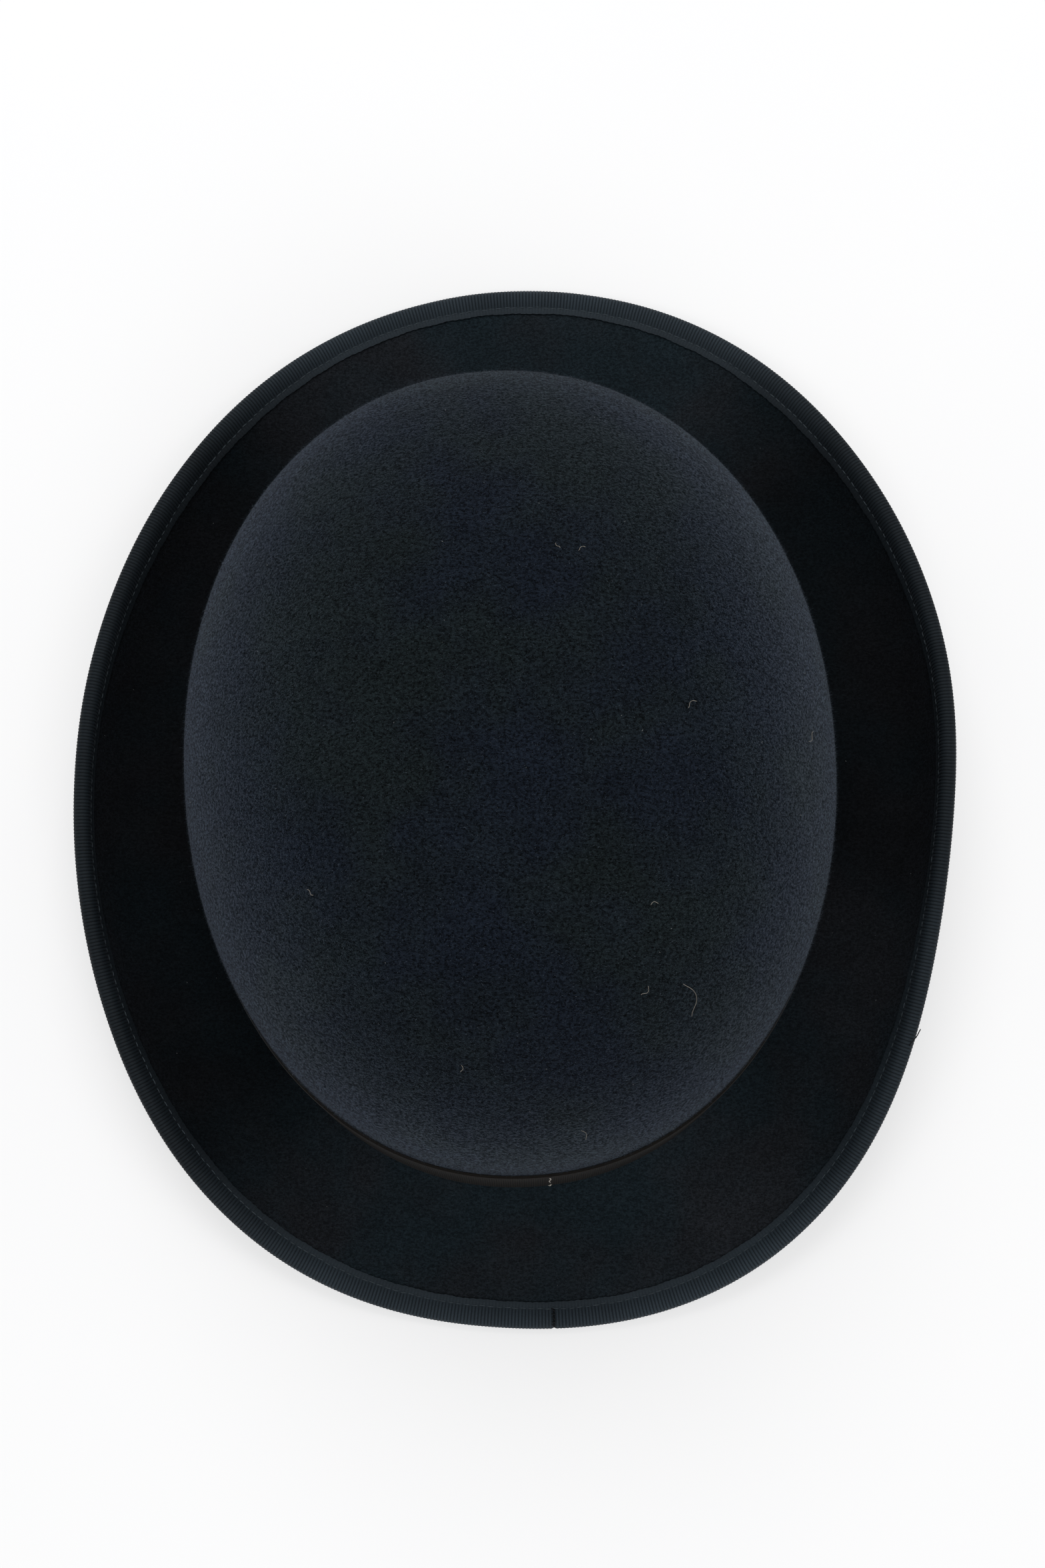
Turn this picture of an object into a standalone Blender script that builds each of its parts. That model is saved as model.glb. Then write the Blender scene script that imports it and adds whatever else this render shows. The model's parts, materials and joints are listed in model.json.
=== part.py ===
"""A bowler hat: a stiff felt hood, its ribbon trims and everything sewn inside it.

Metres, +Z up.  The hat stands on the level front and back of its brim, its front faces -Y and
the wearer's left is +X.  Angles run round the hat from +X, so the front is at -90 degrees.
"""
import math

import bpy
import numpy as np

# ---- driving dimensions ----
CROWN_HALF_WIDTH = 0.0870       # at the widest ring of the crown, outside
CROWN_HALF_LENGTH = 0.10795
CROWN_SQUARENESS = 2.10         # 2 is a true ellipse
CROWN_TWIST = math.radians(2.6)
CROWN_HEIGHT = 0.122            # head line to the tip
GIRTH_HEIGHT = 0.050            # head line to the widest ring
CROWN_TUCK = 0.002              # how much narrower the head line is than the widest ring
BACK_TUCK = -0.0005             # the same at the back, where the wall leans out to its foot
DOME_SHOULDER = 2.3             # above 2 the dome has fuller shoulders
DOME_TIP = 2.2
TIP_FLAT = math.radians(80)     # the dome's last ring, where the tip is level
BRIM_SIDE_REACH = 0.0356        # from the crown's widest ring to the brim's edge, seen from above
BRIM_END_REACH = 0.04415
BRIM_SQUARENESS = 2.12
BRIM_TWIST = math.radians(-1.5)
BRIM_HAND = (                   # waves round the brim, with their cosine and sine reach
    (3, 0.0012, 0.0008), (4, -0.0005, 0.0005), (5, -0.0001, -0.0009), (6, 0.0003, 0.0002),
)
CROWN_SHIFT = (0.0022, 0.00135) # the crown's middle from the brim's middle
HEAD_LINE_END = 0.0100          # height of the head line at front and back
HEAD_LINE_SIDE = 0.0140
EDGE_END = 0.0022               # height of the brim's edge at front and back
EDGE_SIDE = 0.0325
LEVEL_SHARE = 0.14              # cosine within which the front and back edges lie level
CURL_ONSET = 1.6
ROOT_DIP_END = math.radians(-22)
ROOT_DIP_SIDE = math.radians(-6)
EDGE_SLOPE_SIDE = math.radians(77)
CURL_GROWTH = 1.5
FELT = 0.0023
CROWN_FILLET = 0.0018
RIBBON = 0.0005
RIBBON_GAP = 0.0005
BINDING_WIDTH = 0.0073          # each leg of the folded ribbon, from its fold
STITCH_INSET = 0.0055           # from the fold to the row of stitches
THREAD = 0.0004
THREAD_TAIL = 0.005             # the end left loose
TAIL_TURN = math.radians(144.5) # where round the hat it is
JOIN_TURN = math.radians(94.5)  # where the binding's ends meet
TACK_TURN = math.radians(95.5)
TACK_LENGTH = 0.0025
BAND_WIDTH = 0.031
BAND_LIFT = 0.0025              # the band's lower edge above the head line
BOW_LENGTH = 0.066
BOW_WIDTH = 0.026
BOW_DEPTH = 0.0022
KNOT_LENGTH = 0.012
LEATHER = 0.0009
LEATHER_HEIGHT = 0.046
LEATHER_TOP_GAP = 0.0014        # from the felt, where the leather stands clear of the lining
REED = 0.0018
TAPE = 0.0003
TAPE_TAIL = 0.006
SATIN = 0.0004
SATIN_GAP = 0.0007
LINING_FOOT = 0.030             # the side lining starts this far above the head line
LINING_SEAM = math.radians(50)  # the dome ring where side and tip linings are joined
LINING_PARTING = math.radians(2)
PIPING = 0.0016
SHIELD = 0.0003
SHIELD_HALF_WIDTH = 0.026
SHIELD_HALF_LENGTH = 0.036
LABEL_LENGTH = 0.022
LABEL_WIDTH = 0.010
PAPER = 0.0002
LABEL_GAP = 0.006               # between the leather's bow and the label
TRIM_RISE = 0.014               # height of the bow and the label up the leather
SEAM_REACH = 0.0012             # half the width of the crossed stitches on the leather's join
LACE_BOW_LENGTH = 0.026
LACE_BOW_WIDTH = 0.006
LACE_BOW_DEPTH = 0.0026
STATIONS = 48                   # sections round the hat
DOME_STEPS = 8
BRIM_SHARES = (0.12, 0.27, 0.42, 0.56, 0.69, 0.80, 0.90, 1.0)
NEAR_EDGE = 0.03                # share of the brim over which its edge's slope is read
CLEAR = 0.0003                  # air between pieces that touch

FRONT = -math.pi / 2
BACK = math.pi / 2
LEFT = 0.0
AROUND = np.arange(STATIONS) * 2 * math.pi / STATIONS


# ---- the hat's own shape ----
def oval(angle, half_width, half_length, squareness):
    """Distance from the middle to an oval that is squarer than an ellipse above 2."""
    across = np.abs(np.cos(angle) / half_width) ** squareness
    along = np.abs(np.sin(angle) / half_length) ** squareness
    return (across + along) ** (-1 / squareness)


def girth(angle):
    return oval(angle - CROWN_TWIST, CROWN_HALF_WIDTH, CROWN_HALF_LENGTH, CROWN_SQUARENESS)


def sideness(angle):
    """0 over the level front and back, 1 at the middle of each side."""
    share = (np.abs(np.cos(angle)) - LEVEL_SHARE) / (1 - LEVEL_SHARE)
    return np.clip(share, 0, 1) ** CURL_ONSET


def between(low, high, share):
    return low + (high - low) * share


def head_line(angle):
    return between(HEAD_LINE_END, HEAD_LINE_SIDE, sideness(angle))


def on_plan(angle, reach, height):
    """Points at a reach from the crown's middle."""
    angle, reach, height = np.broadcast_arrays(angle, reach, height)
    across = reach * np.cos(angle) + CROWN_SHIFT[0]
    along = reach * np.sin(angle) + CROWN_SHIFT[1]
    return np.stack([across, along, height], -1)


def settle(angle, rise):
    """Height of a crown ring: it follows the head line below and is level at the tip."""
    share = rise / CROWN_HEIGHT
    return rise + head_line(angle) * (1 - share) + HEAD_LINE_END * share


def tuck(angle):
    """How far in the head line lies from the widest ring."""
    return between(CROWN_TUCK, BACK_TUCK, np.clip(np.sin(angle), 0, 1) ** 4)


def wall_reach(angle, rise):
    """The crown's outside below its widest ring, from its middle."""
    return girth(angle) - tuck(angle) * (1 - np.sin(math.pi / 2 * np.clip(rise / GIRTH_HEIGHT, 0, 1)))


def wall_point(angle, rise):
    """The crown's outside between the head line and its widest ring."""
    return on_plan(angle, wall_reach(angle, rise), settle(angle, rise))


def dome_point(angle, climb):
    """The crown's outside above its widest ring; climb runs from 0 up to TIP_FLAT."""
    reach = girth(angle) * np.cos(climb) ** (2 / DOME_SHOULDER)
    top = (np.sin(climb) / math.sin(TIP_FLAT)) ** (2 / DOME_TIP)
    return on_plan(angle, reach, settle(angle, between(GIRTH_HEIGHT, CROWN_HEIGHT, top)))


def brim_outline(angle):
    """Distance from the crown's middle to the brim's outermost edge, binding and all."""
    half_width = CROWN_HALF_WIDTH + BRIM_SIDE_REACH
    half_length = CROWN_HALF_LENGTH + BRIM_END_REACH
    reach = oval(angle - BRIM_TWIST, half_width, half_length, BRIM_SQUARENESS)
    for waves, cosine, sine in BRIM_HAND:
        reach = reach + cosine * np.cos(waves * angle) + sine * np.sin(waves * angle)
    shift = CROWN_SHIFT[0] * np.cos(angle) + CROWN_SHIFT[1] * np.sin(angle)
    return reach - shift


def fold_radius():
    return FELT / 2 + RIBBON_GAP + RIBBON


def edge_slope(angle):
    return EDGE_SLOPE_SIDE * sideness(angle)


def root_dip(angle):
    return between(ROOT_DIP_END, ROOT_DIP_SIDE, sideness(angle))


def base_reach(angle):
    return wall_reach(angle, 0)


def brim_sweep(angle, width, steps=41):
    """Runs out over the brim's top: slope first grows, then is even under the binding."""
    along = np.linspace(0, 1, steps)[:, None] * width
    bend = np.clip(along / (width - BINDING_WIDTH - 2 * CLEAR), 0, 1) ** CURL_GROWTH
    slope = between(root_dip(angle), edge_slope(angle), bend)
    step = width / (steps - 1)
    middle = (slope[1:] + slope[:-1]) / 2
    start = np.zeros((1, len(angle)))
    out = np.vstack([start, np.cumsum(np.cos(middle) * step, axis=0)])
    up = np.vstack([start, np.cumsum(np.sin(middle) * step, axis=0)])
    return out, up, bend


def brim_rows(angle, shares):
    """The brim's top surface at shares of its width, from the head line to its edge."""
    reach = brim_outline(angle) - fold_radius() - FELT / 2 * np.sin(edge_slope(angle))
    wanted = reach - base_reach(angle)
    width = wanted.copy()
    for _ in range(30):
        out, up, bend = brim_sweep(angle, width)
        width = width + wanted - out[-1]
    foot = head_line(angle)
    edge = between(EDGE_END, EDGE_SIDE, sideness(angle)) + FELT / 2
    ease = bend * bend * (3 - 2 * bend)
    height = foot + up + (edge - foot - up[-1]) * ease
    rows = []
    for share in shares:
        at = share * (len(out) - 1)
        low = min(int(at), len(out) - 2)
        part = at - low
        row_out = between(out[low], out[low + 1], part)
        row_up = between(height[low], height[low + 1], part)
        rows.append(on_plan(angle, base_reach(angle) + row_out, row_up))
    return np.array(rows)


def fillet_centre(angle):
    turn = math.pi / 2 + root_dip(angle)
    lift = CROWN_FILLET * np.tan(turn / 2)
    return base_reach(angle) + CROWN_FILLET, head_line(angle) + lift, turn


def fillet_rows(angle, steps=3):
    reach, height, turn = fillet_centre(angle)
    rows = []
    for share in np.linspace(0, 1, steps):
        at = math.pi + turn * share
        rows.append(on_plan(angle, reach + CROWN_FILLET * np.cos(at), height + CROWN_FILLET * np.sin(at)))
    return np.array(rows)


def normals(rows):
    """Unit normals of rows of points that close round the hat, outwards and upwards."""
    along = np.gradient(rows, axis=0)
    around = np.roll(rows, -1, axis=1) - np.roll(rows, 1, axis=1)
    normal = np.cross(along, around)
    return normal / np.linalg.norm(normal, axis=-1, keepdims=True)


# ---- making objects ----
for old in list(bpy.data.objects):
    bpy.data.objects.remove(old)
HAT = bpy.data.collections.new("bowler_hat")
bpy.context.scene.collection.children.link(HAT)


def finish(name, color, roughness):
    """A plain material of a name, linear colour and roughness."""
    material = bpy.data.materials.new(name)
    material.use_nodes = True
    shader = material.node_tree.nodes["Principled BSDF"]
    shader.inputs["Base Color"].default_value = (*color, 1)
    shader.inputs["Roughness"].default_value = roughness
    shader.inputs["Metallic"].default_value = 0
    return material


def add(name, data, color, roughness):
    data.materials.append(finish(name, color, roughness))
    piece = bpy.data.objects.new(name, data)
    HAT.objects.link(piece)
    return piece


def sheet(name, rows, color, roughness, thickness, offset=0.0, closed=True, tip=None):
    """A cloth, leather or felt piece: rows of points skinned into a sheet, then thickened.

    The last row is the outer or lower one, and tip is a point that closes the first row.
    """
    rows = np.asarray(rows)
    count, length = rows.shape[:2]
    points = [tuple(point) for row in rows for point in row]
    spans = length if closed else length - 1
    faces = []
    for r in range(count - 1):
        for s in range(spans):
            t = (s + 1) % length
            faces.append((r * length + s, (r + 1) * length + s, (r + 1) * length + t, r * length + t))
    if tip is not None:
        points.append(tuple(tip))
        faces += [(len(points) - 1, s, (s + 1) % length) for s in range(length)]
    mesh = bpy.data.meshes.new(name)
    mesh.from_pydata(points, [], faces)
    mesh.shade_smooth()
    piece = add(name, mesh, color, roughness)
    wall = piece.modifiers.new("thickness", "SOLIDIFY")
    wall.thickness = thickness
    wall.offset = offset
    wall.use_even_offset = True
    return piece


def cord(name, points, diameter, color, roughness, closed=True):
    """A thread, reed or piping: a curve through its points with a round section."""
    curve = bpy.data.curves.new(name, "CURVE")
    curve.dimensions = "3D"
    curve.bevel_depth = diameter / 2
    curve.bevel_resolution = 2
    curve.use_fill_caps = True
    spline = curve.splines.new("POLY")
    spline.points.add(len(points) - 1)
    for spot, point in zip(spline.points, points):
        spot.co = (*point, 1)
    spline.use_cyclic_u = closed
    return add(name, curve, color, roughness)


# ---- the felt ----
def felt_hood():
    dome = [dome_point(AROUND, climb) for climb in np.linspace(TIP_FLAT, 0, DOME_STEPS + 1)]
    top = fillet_centre(AROUND)[1] - head_line(AROUND)
    wall = [wall_point(AROUND, between(GIRTH_HEIGHT, top, share)) for share in (0.35, 0.7)]
    brim = brim_rows(AROUND, BRIM_SHARES)
    rows = np.concatenate([dome, wall, fillet_rows(AROUND), brim])
    tip = on_plan(0.0, 0.0, settle(LEFT, CROWN_HEIGHT))
    sheet("felt_hood", rows, (0.012, 0.014, 0.017), 0.95, FELT, offset=-1, tip=tip)


# ---- the brim's binding ----
def edge_frame():
    """Middle of the felt's edge, the way out of it and the way up from its top side."""
    rows = brim_rows(AROUND, (1 - NEAR_EDGE, 1.0))
    up = normals(rows)[1]
    around = np.roll(rows[1], -1, axis=0) - np.roll(rows[1], 1, axis=0)
    out = np.cross(around, up)
    out /= np.linalg.norm(out, axis=-1, keepdims=True)
    return rows[1] - FELT / 2 * up, out, up


def edge_at(turn):
    """The same three between two stations, so that small pieces lie on the binding's facets."""
    place = turn / math.tau * STATIONS
    low = int(place)
    return [between(part[low], part[(low + 1) % STATIONS], place - low) for part in edge_frame()]


def over_binding(frame, depth, lift):
    """A place in from the binding's fold by a depth, and lifted from the felt's middle."""
    middle, out, up = frame
    return middle + (fold_radius() - depth) * out + lift * up


def brim_binding():
    middle, out, up = edge_frame()
    radius = fold_radius() - RIBBON / 2
    rows = [over_binding((middle, out, up), BINDING_WIDTH, radius)]
    for turn in np.linspace(math.pi / 2, -math.pi / 2, 7):
        rows.append(middle + radius * (math.cos(turn) * out + math.sin(turn) * up))
    rows.append(over_binding((middle, out, up), BINDING_WIDTH, -radius))
    sheet("brim_binding", rows, (0.016, 0.018, 0.021), 0.7, RIBBON)


def thread_lift():
    return fold_radius() + CLEAR + THREAD / 2


def binding_thread():
    row = over_binding(edge_frame(), STITCH_INSET, thread_lift())
    cord("binding_thread", row, THREAD, (0.05, 0.055, 0.06), 0.6)


def binding_join_stitch():
    """A few hand stitches that close the binding's turned-under end at the back."""
    frame = edge_at(JOIN_TURN)
    around = np.cross(frame[2], frame[1])
    points = []
    for stitch in range(6):
        depth = between(fold_radius(), STITCH_INSET - 2 * THREAD - CLEAR, stitch / 5)
        sway = THREAD * (-1) ** stitch
        points.append(over_binding(frame, depth, thread_lift()) + sway * around)
    cord("binding_join_stitch", points, THREAD, (0.01, 0.011, 0.013), 0.6, closed=False)


def loose_thread_end():
    """The tail left where the binding's seam was fastened off: it stands off along the edge."""
    frame = edge_at(TAIL_TURN)
    around = np.cross(frame[2], frame[1])
    start = over_binding(frame, -CLEAR - THREAD, 0)
    points = []
    for share in np.linspace(0, 1, 6):
        stray = math.sin(2 * share) * 0.42 * frame[1]
        points.append(start + THREAD_TAIL * (share * around + stray))
    cord("loose_thread_end", points, THREAD, (0.02, 0.02, 0.024), 0.7, closed=False)


# ---- the band and its bow ----
def band_points(angle, rise, lift):
    """Points lift out from the crown's wall, on the true normal."""
    step = 0.001
    here = wall_point(angle, rise)
    around = wall_point(angle + step, rise) - wall_point(angle - step, rise)
    along = wall_point(angle, rise + step) - wall_point(angle, rise - step)
    normal = np.cross(around, along)
    normal /= np.linalg.norm(normal, axis=-1, keepdims=True)
    return here + np.asarray(lift)[..., None] * normal


def hat_band():
    lift = RIBBON_GAP + RIBBON / 2
    rises = BAND_LIFT + BAND_WIDTH * np.linspace(1, 0, 4)
    rows = [band_points(AROUND, rise, lift) for rise in rises]
    sheet("hat_band", rows, (0.016, 0.014, 0.013), 0.75, RIBBON)


def band_tack():
    """The stitch that holds the band to the felt at the back."""
    lift = RIBBON_GAP + RIBBON + CLEAR + THREAD / 2
    rises = BAND_LIFT + CLEAR + TACK_LENGTH * np.linspace(0, 1, 3)
    points = [band_points(TACK_TURN, rise, lift) for rise in rises]
    cord("band_tack", points, THREAD, (0.35, 0.33, 0.3), 0.7, closed=False)


def bow_point(along, rise, depth):
    """A place on the bow: along the band from the left, up it, and out from it."""
    base = RIBBON_GAP + RIBBON + CLEAR
    middle = BAND_LIFT + BAND_WIDTH / 2
    return band_points(LEFT + np.asarray(along) / CROWN_HALF_LENGTH, middle + np.asarray(rise), base + depth)


def bow_base():
    """A flat length of ribbon behind the loops, its two ends cut on the slant."""
    half = BOW_WIDTH / 2
    rows = []
    for share in (1, 0, -1):
        ends = BOW_LENGTH / 2 + CLEAR + half * 0.5 * share
        along = np.linspace(-ends, ends, 9)
        rows.append([bow_point(s, half * share, RIBBON / 2) for s in along])
    sheet("bow_base", rows, (0.016, 0.015, 0.014), 0.75, RIBBON, closed=False)


def bow_outline(length, depth, waist, points=28):
    """Plan of two flat loops: closed round ends and a waist where the knot grips them."""
    turn = np.arange(points) * 2 * math.pi / points
    along = np.cos(turn) * length / 2
    full = np.abs(np.sin(turn)) ** 0.6 * np.sign(np.sin(turn))
    pinch = waist + (1 - waist) * np.clip(np.abs(along) / (length * 0.24), 0, 1) ** 1.5
    return along, full * pinch * depth / 2


def bow_loops():
    depth = BOW_DEPTH - RIBBON
    along, out = bow_outline(BOW_LENGTH, depth, 0.4)
    middle = RIBBON + CLEAR + RIBBON / 2 + depth / 2
    rows = []
    for share in (1, 0, -1):
        rise = share * BOW_WIDTH / 2 * (0.82 + 0.18 * np.clip(np.abs(along) / (BOW_LENGTH * 0.3), 0, 1))
        rows.append(bow_point(along, rise, middle + out))
    sheet("bow_loops", rows, (0.016, 0.015, 0.014), 0.75, RIBBON)


def bow_knot():
    """A strip wrapped round the loops' waist and the base."""
    low = RIBBON / 2
    outer = RIBBON + CLEAR + BOW_DEPTH + CLEAR + RIBBON / 2
    half = BOW_WIDTH / 2 + CLEAR + RIBBON / 2
    rows = []
    for along in np.linspace(-KNOT_LENGTH / 2, KNOT_LENGTH / 2, 3):
        corners = [(-half, low), (-half, outer), (0, outer + CLEAR), (half, outer), (half, low)]
        rows.append([bow_point(along, rise, depth) for rise, depth in corners])
    sheet("bow_knot", rows, (0.018, 0.017, 0.016), 0.7, RIBBON, closed=False)


# ---- inside the crown ----
def leather_reach(angle):
    """The leather's middle at its foot, where the reed and its tape hold it off the felt."""
    reed, _ = reed_centre(angle)
    return reed - REED / 2 - CLEAR - LEATHER / 2


def reed_centre(angle):
    """The reed lies in the felt's turn from crown to brim, held off it by the tape."""
    reach, height, _ = fillet_centre(angle)
    away = CROWN_FILLET + FELT + CLEAR + TAPE + CLEAR + REED / 2
    lean = math.radians(40)
    return reach - away * math.cos(lean), height - away * math.sin(lean)


def sweatband_reed():
    reach, height = reed_centre(AROUND)
    cord("sweatband_reed", on_plan(AROUND, reach, height), REED, (0.35, 0.25, 0.14), 0.6)


def reed_tape():
    """The tape that wraps the reed and runs up behind the leather."""
    reach, height = reed_centre(AROUND)
    radius = REED / 2 + CLEAR + TAPE / 2
    rows = [on_plan(AROUND, reach - radius * math.sin(math.radians(10)), height + TAPE_TAIL)]
    for turn in np.radians((100, 45, -10, -60, -100)):
        rows.append(on_plan(AROUND, reach + radius * math.cos(turn), height + radius * math.sin(turn)))
    sheet("reed_tape", rows, (0.02, 0.02, 0.02), 0.5, TAPE)


def lean(angle):
    """How much longer a step towards the hat's middle is than the step across the wall."""
    step = 0.01
    slope = (girth(angle + step) - girth(angle - step)) / (2 * step * girth(angle))
    return np.sqrt(1 + slope ** 2)


def leather_rows(lift, shares):
    """Rings on the leather, lifted towards the head from its middle."""
    foot, reed_height = leather_reach(AROUND), reed_centre(AROUND)[1]
    low = reed_height - REED / 2 - CLEAR - TAPE
    rows = []
    for share in shares:
        rise = LEATHER_HEIGHT * share
        top = wall_reach(AROUND, rise) - (FELT + LEATHER_TOP_GAP + LEATHER / 2) * lean(AROUND)
        rows.append(on_plan(AROUND, between(foot, top, share) - lift, low + rise))
    return rows


def sweatband():
    sheet("sweatband", leather_rows(0, (1, 0.66, 0.33, 0)), (0.16, 0.075, 0.035), 0.45, LEATHER)


def sweatband_thread():
    row = leather_rows(LEATHER / 2 + CLEAR + THREAD / 2, [REED * 2 / LEATHER_HEIGHT])[0]
    cord("sweatband_thread", row, THREAD, (0.3, 0.22, 0.13), 0.7)


def leather_point(along, rise, depth):
    """A place on the leather's inside at the back: along it, up it, and in from it."""
    angle = BACK + along / CROWN_HALF_WIDTH
    foot = float(np.interp(angle, AROUND, leather_reach(AROUND)))
    low = float(np.interp(angle, AROUND, reed_centre(AROUND)[1])) - REED / 2 - CLEAR - TAPE
    return on_plan(angle, foot - LEATHER / 2 - CLEAR - depth, low + rise)


def sweatband_seam():
    """The crossed stitches that join the leather's two ends at the back."""
    points = []
    for stitch in range(10):
        low = TRIM_RISE + LACE_BOW_WIDTH
        rise = between(low, LEATHER_HEIGHT - 2 * SEAM_REACH, stitch / 9)
        points.append(leather_point(SEAM_REACH * (-1) ** stitch, rise, THREAD / 2))
    cord("sweatband_seam", points, THREAD, (0.3, 0.22, 0.13), 0.7, closed=False)


def sweatband_bow():
    """The small flat bow over the leather's join."""
    along, out = bow_outline(LACE_BOW_LENGTH, LACE_BOW_DEPTH, 0.45, 20)
    rows = []
    for share in (1, -1):
        rise = TRIM_RISE + share * LACE_BOW_WIDTH / 2
        middle = LACE_BOW_DEPTH / 2 + RIBBON
        rows.append([leather_point(s, rise, middle + d) for s, d in zip(along, out)])
    sheet("sweatband_bow", rows, (0.02, 0.02, 0.022), 0.6, RIBBON)


def size_label():
    """A blank paper size label on the leather, beside its join."""
    start = LACE_BOW_LENGTH / 2 + LABEL_GAP
    rows = []
    for share in (1, -1):
        rise = TRIM_RISE + share * LABEL_WIDTH / 2
        along = start + np.linspace(0, LABEL_LENGTH, 5)
        rows.append([leather_point(place, rise, PAPER / 2) for place in along])
    sheet("size_label", rows, (0.75, 0.72, 0.64), 0.8, PAPER, closed=False)


def inset(rows, depth):
    return rows - depth * normals(rows)


def lining_depth():
    return FELT + SATIN_GAP + SATIN / 2


def lining_side():
    rises = (GIRTH_HEIGHT + LINING_FOOT) / 2, LINING_FOOT
    rows = [dome_point(AROUND, climb) for climb in np.linspace(LINING_SEAM, 0, 6)]
    rows += [wall_point(AROUND, rise) for rise in rises]
    sheet("lining_side", inset(np.array(rows), lining_depth()), (0.62, 0.57, 0.47), 0.35, SATIN)


def lining_tip():
    climbs = np.linspace(TIP_FLAT, LINING_SEAM + LINING_PARTING, 4)
    rows = inset(np.array([dome_point(AROUND, climb) for climb in climbs]), lining_depth())
    tip = rows[0].mean(axis=0)
    sheet("lining_tip", rows, (0.62, 0.57, 0.47), 0.35, SATIN, tip=tip)


def lining_piping():
    """A covered cord that hides the seam between the lining's side and tip."""
    climbs = LINING_SEAM + LINING_PARTING * np.array([1, 0.5, 0])
    rows = np.array([dome_point(AROUND, climb) for climb in climbs])
    depth = lining_depth() + SATIN / 2 + CLEAR + PIPING / 2
    cord("lining_piping", inset(rows, depth)[1], PIPING, (0.45, 0.38, 0.26), 0.4)


def lining_shield():
    """The clear lozenge that keeps hair oil off the tip lining."""
    depth = lining_depth() + SATIN / 2 + 2 * CLEAR + SHIELD / 2
    rows = []
    for share in (0.05, 0.5, 1.0):
        reach = share * oval(AROUND[::2], SHIELD_HALF_WIDTH, SHIELD_HALF_LENGTH, 1.3)
        full = girth(AROUND[::2])
        climb = np.arccos(np.clip((reach / full) ** (DOME_SHOULDER / 2), 0, 1))
        spots = dome_point(AROUND[::2], np.minimum(climb, TIP_FLAT))
        rows.append(on_plan(AROUND[::2], reach, spots[:, 2] - depth))
    tip = rows[0].mean(axis=0)
    sheet("lining_shield", rows, (0.8, 0.82, 0.8), 0.1, SHIELD, tip=tip)


def stand_on_floor():
    """Moves every piece so that the hat's box stands on z = 0 and is centred on the origin."""
    bpy.context.view_layer.update()
    graph = bpy.context.evaluated_depsgraph_get()
    corners = []
    for piece in HAT.objects:
        mesh = piece.evaluated_get(graph).to_mesh()
        spots = np.empty(len(mesh.vertices) * 3, np.float32)
        mesh.vertices.foreach_get("co", spots)
        spots = spots.reshape(-1, 3)
        corners += [spots.min(axis=0), spots.max(axis=0)]
    low, high = np.min(corners, axis=0), np.max(corners, axis=0)
    for piece in HAT.objects:
        piece.location = (-(low[0] + high[0]) / 2, -(low[1] + high[1]) / 2, -low[2])


PIECES = (
    felt_hood, brim_binding, binding_thread, binding_join_stitch, loose_thread_end,
    hat_band, band_tack, bow_base, bow_loops, bow_knot,
    sweatband, sweatband_reed, reed_tape, sweatband_thread, sweatband_seam, sweatband_bow,
    size_label, lining_side, lining_tip, lining_piping, lining_shield,
)
for piece in PIECES:
    piece()
stand_on_floor()
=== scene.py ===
# %% [markdown]
# # A bowler hat
# A bowler is one stiffened cone of fur felt, pulled over a round block. Its brim is curled up at the
# sides, its raw edge is bound with ribbon, a wider ribbon goes round the crown, and a leather band
# and a satin lining are sewn inside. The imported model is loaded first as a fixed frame. Most pieces
# that follow stand in for one of its plain solids; nap, lint and a few stitches are added to them.
# Everything is in metres, +Z is up, the front faces -Y and the wearer's left is +X. Angles run round
# the hat from +X, so the back is at 90 degrees.

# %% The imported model
import json
import math

import bpy
import numpy as np
from mathutils import Matrix, Vector

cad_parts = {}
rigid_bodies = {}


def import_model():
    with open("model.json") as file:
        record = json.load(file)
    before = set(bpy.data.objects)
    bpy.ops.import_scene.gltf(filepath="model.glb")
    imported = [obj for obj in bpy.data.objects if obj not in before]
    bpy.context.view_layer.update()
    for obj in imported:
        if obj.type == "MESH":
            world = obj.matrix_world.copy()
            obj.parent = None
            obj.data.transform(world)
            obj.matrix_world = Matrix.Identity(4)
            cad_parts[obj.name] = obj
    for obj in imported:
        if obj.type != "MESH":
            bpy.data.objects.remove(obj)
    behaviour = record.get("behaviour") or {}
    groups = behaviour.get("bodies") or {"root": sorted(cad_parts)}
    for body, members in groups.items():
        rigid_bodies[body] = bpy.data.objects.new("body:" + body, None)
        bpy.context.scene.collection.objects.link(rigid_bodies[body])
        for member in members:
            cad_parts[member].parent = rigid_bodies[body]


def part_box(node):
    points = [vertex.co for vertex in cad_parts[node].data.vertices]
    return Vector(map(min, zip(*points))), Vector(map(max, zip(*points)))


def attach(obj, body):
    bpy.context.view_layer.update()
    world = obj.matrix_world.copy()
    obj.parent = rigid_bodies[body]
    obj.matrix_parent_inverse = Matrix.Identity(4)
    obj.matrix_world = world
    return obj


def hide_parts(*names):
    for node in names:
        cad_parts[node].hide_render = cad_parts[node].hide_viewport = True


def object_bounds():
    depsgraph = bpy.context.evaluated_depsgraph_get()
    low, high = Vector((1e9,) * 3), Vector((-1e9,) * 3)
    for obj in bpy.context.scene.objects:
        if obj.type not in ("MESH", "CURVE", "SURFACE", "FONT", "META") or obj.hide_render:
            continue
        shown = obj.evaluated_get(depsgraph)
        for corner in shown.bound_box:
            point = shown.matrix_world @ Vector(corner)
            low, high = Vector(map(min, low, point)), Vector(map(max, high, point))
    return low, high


for old in list(bpy.data.objects):
    bpy.data.objects.remove(old)
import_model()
cad_box = [list(corner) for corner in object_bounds()]
MM = 0.001
print("packed size", [round((high - low) / MM, 1) for low, high in zip(*cad_box)], "mm")

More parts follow.
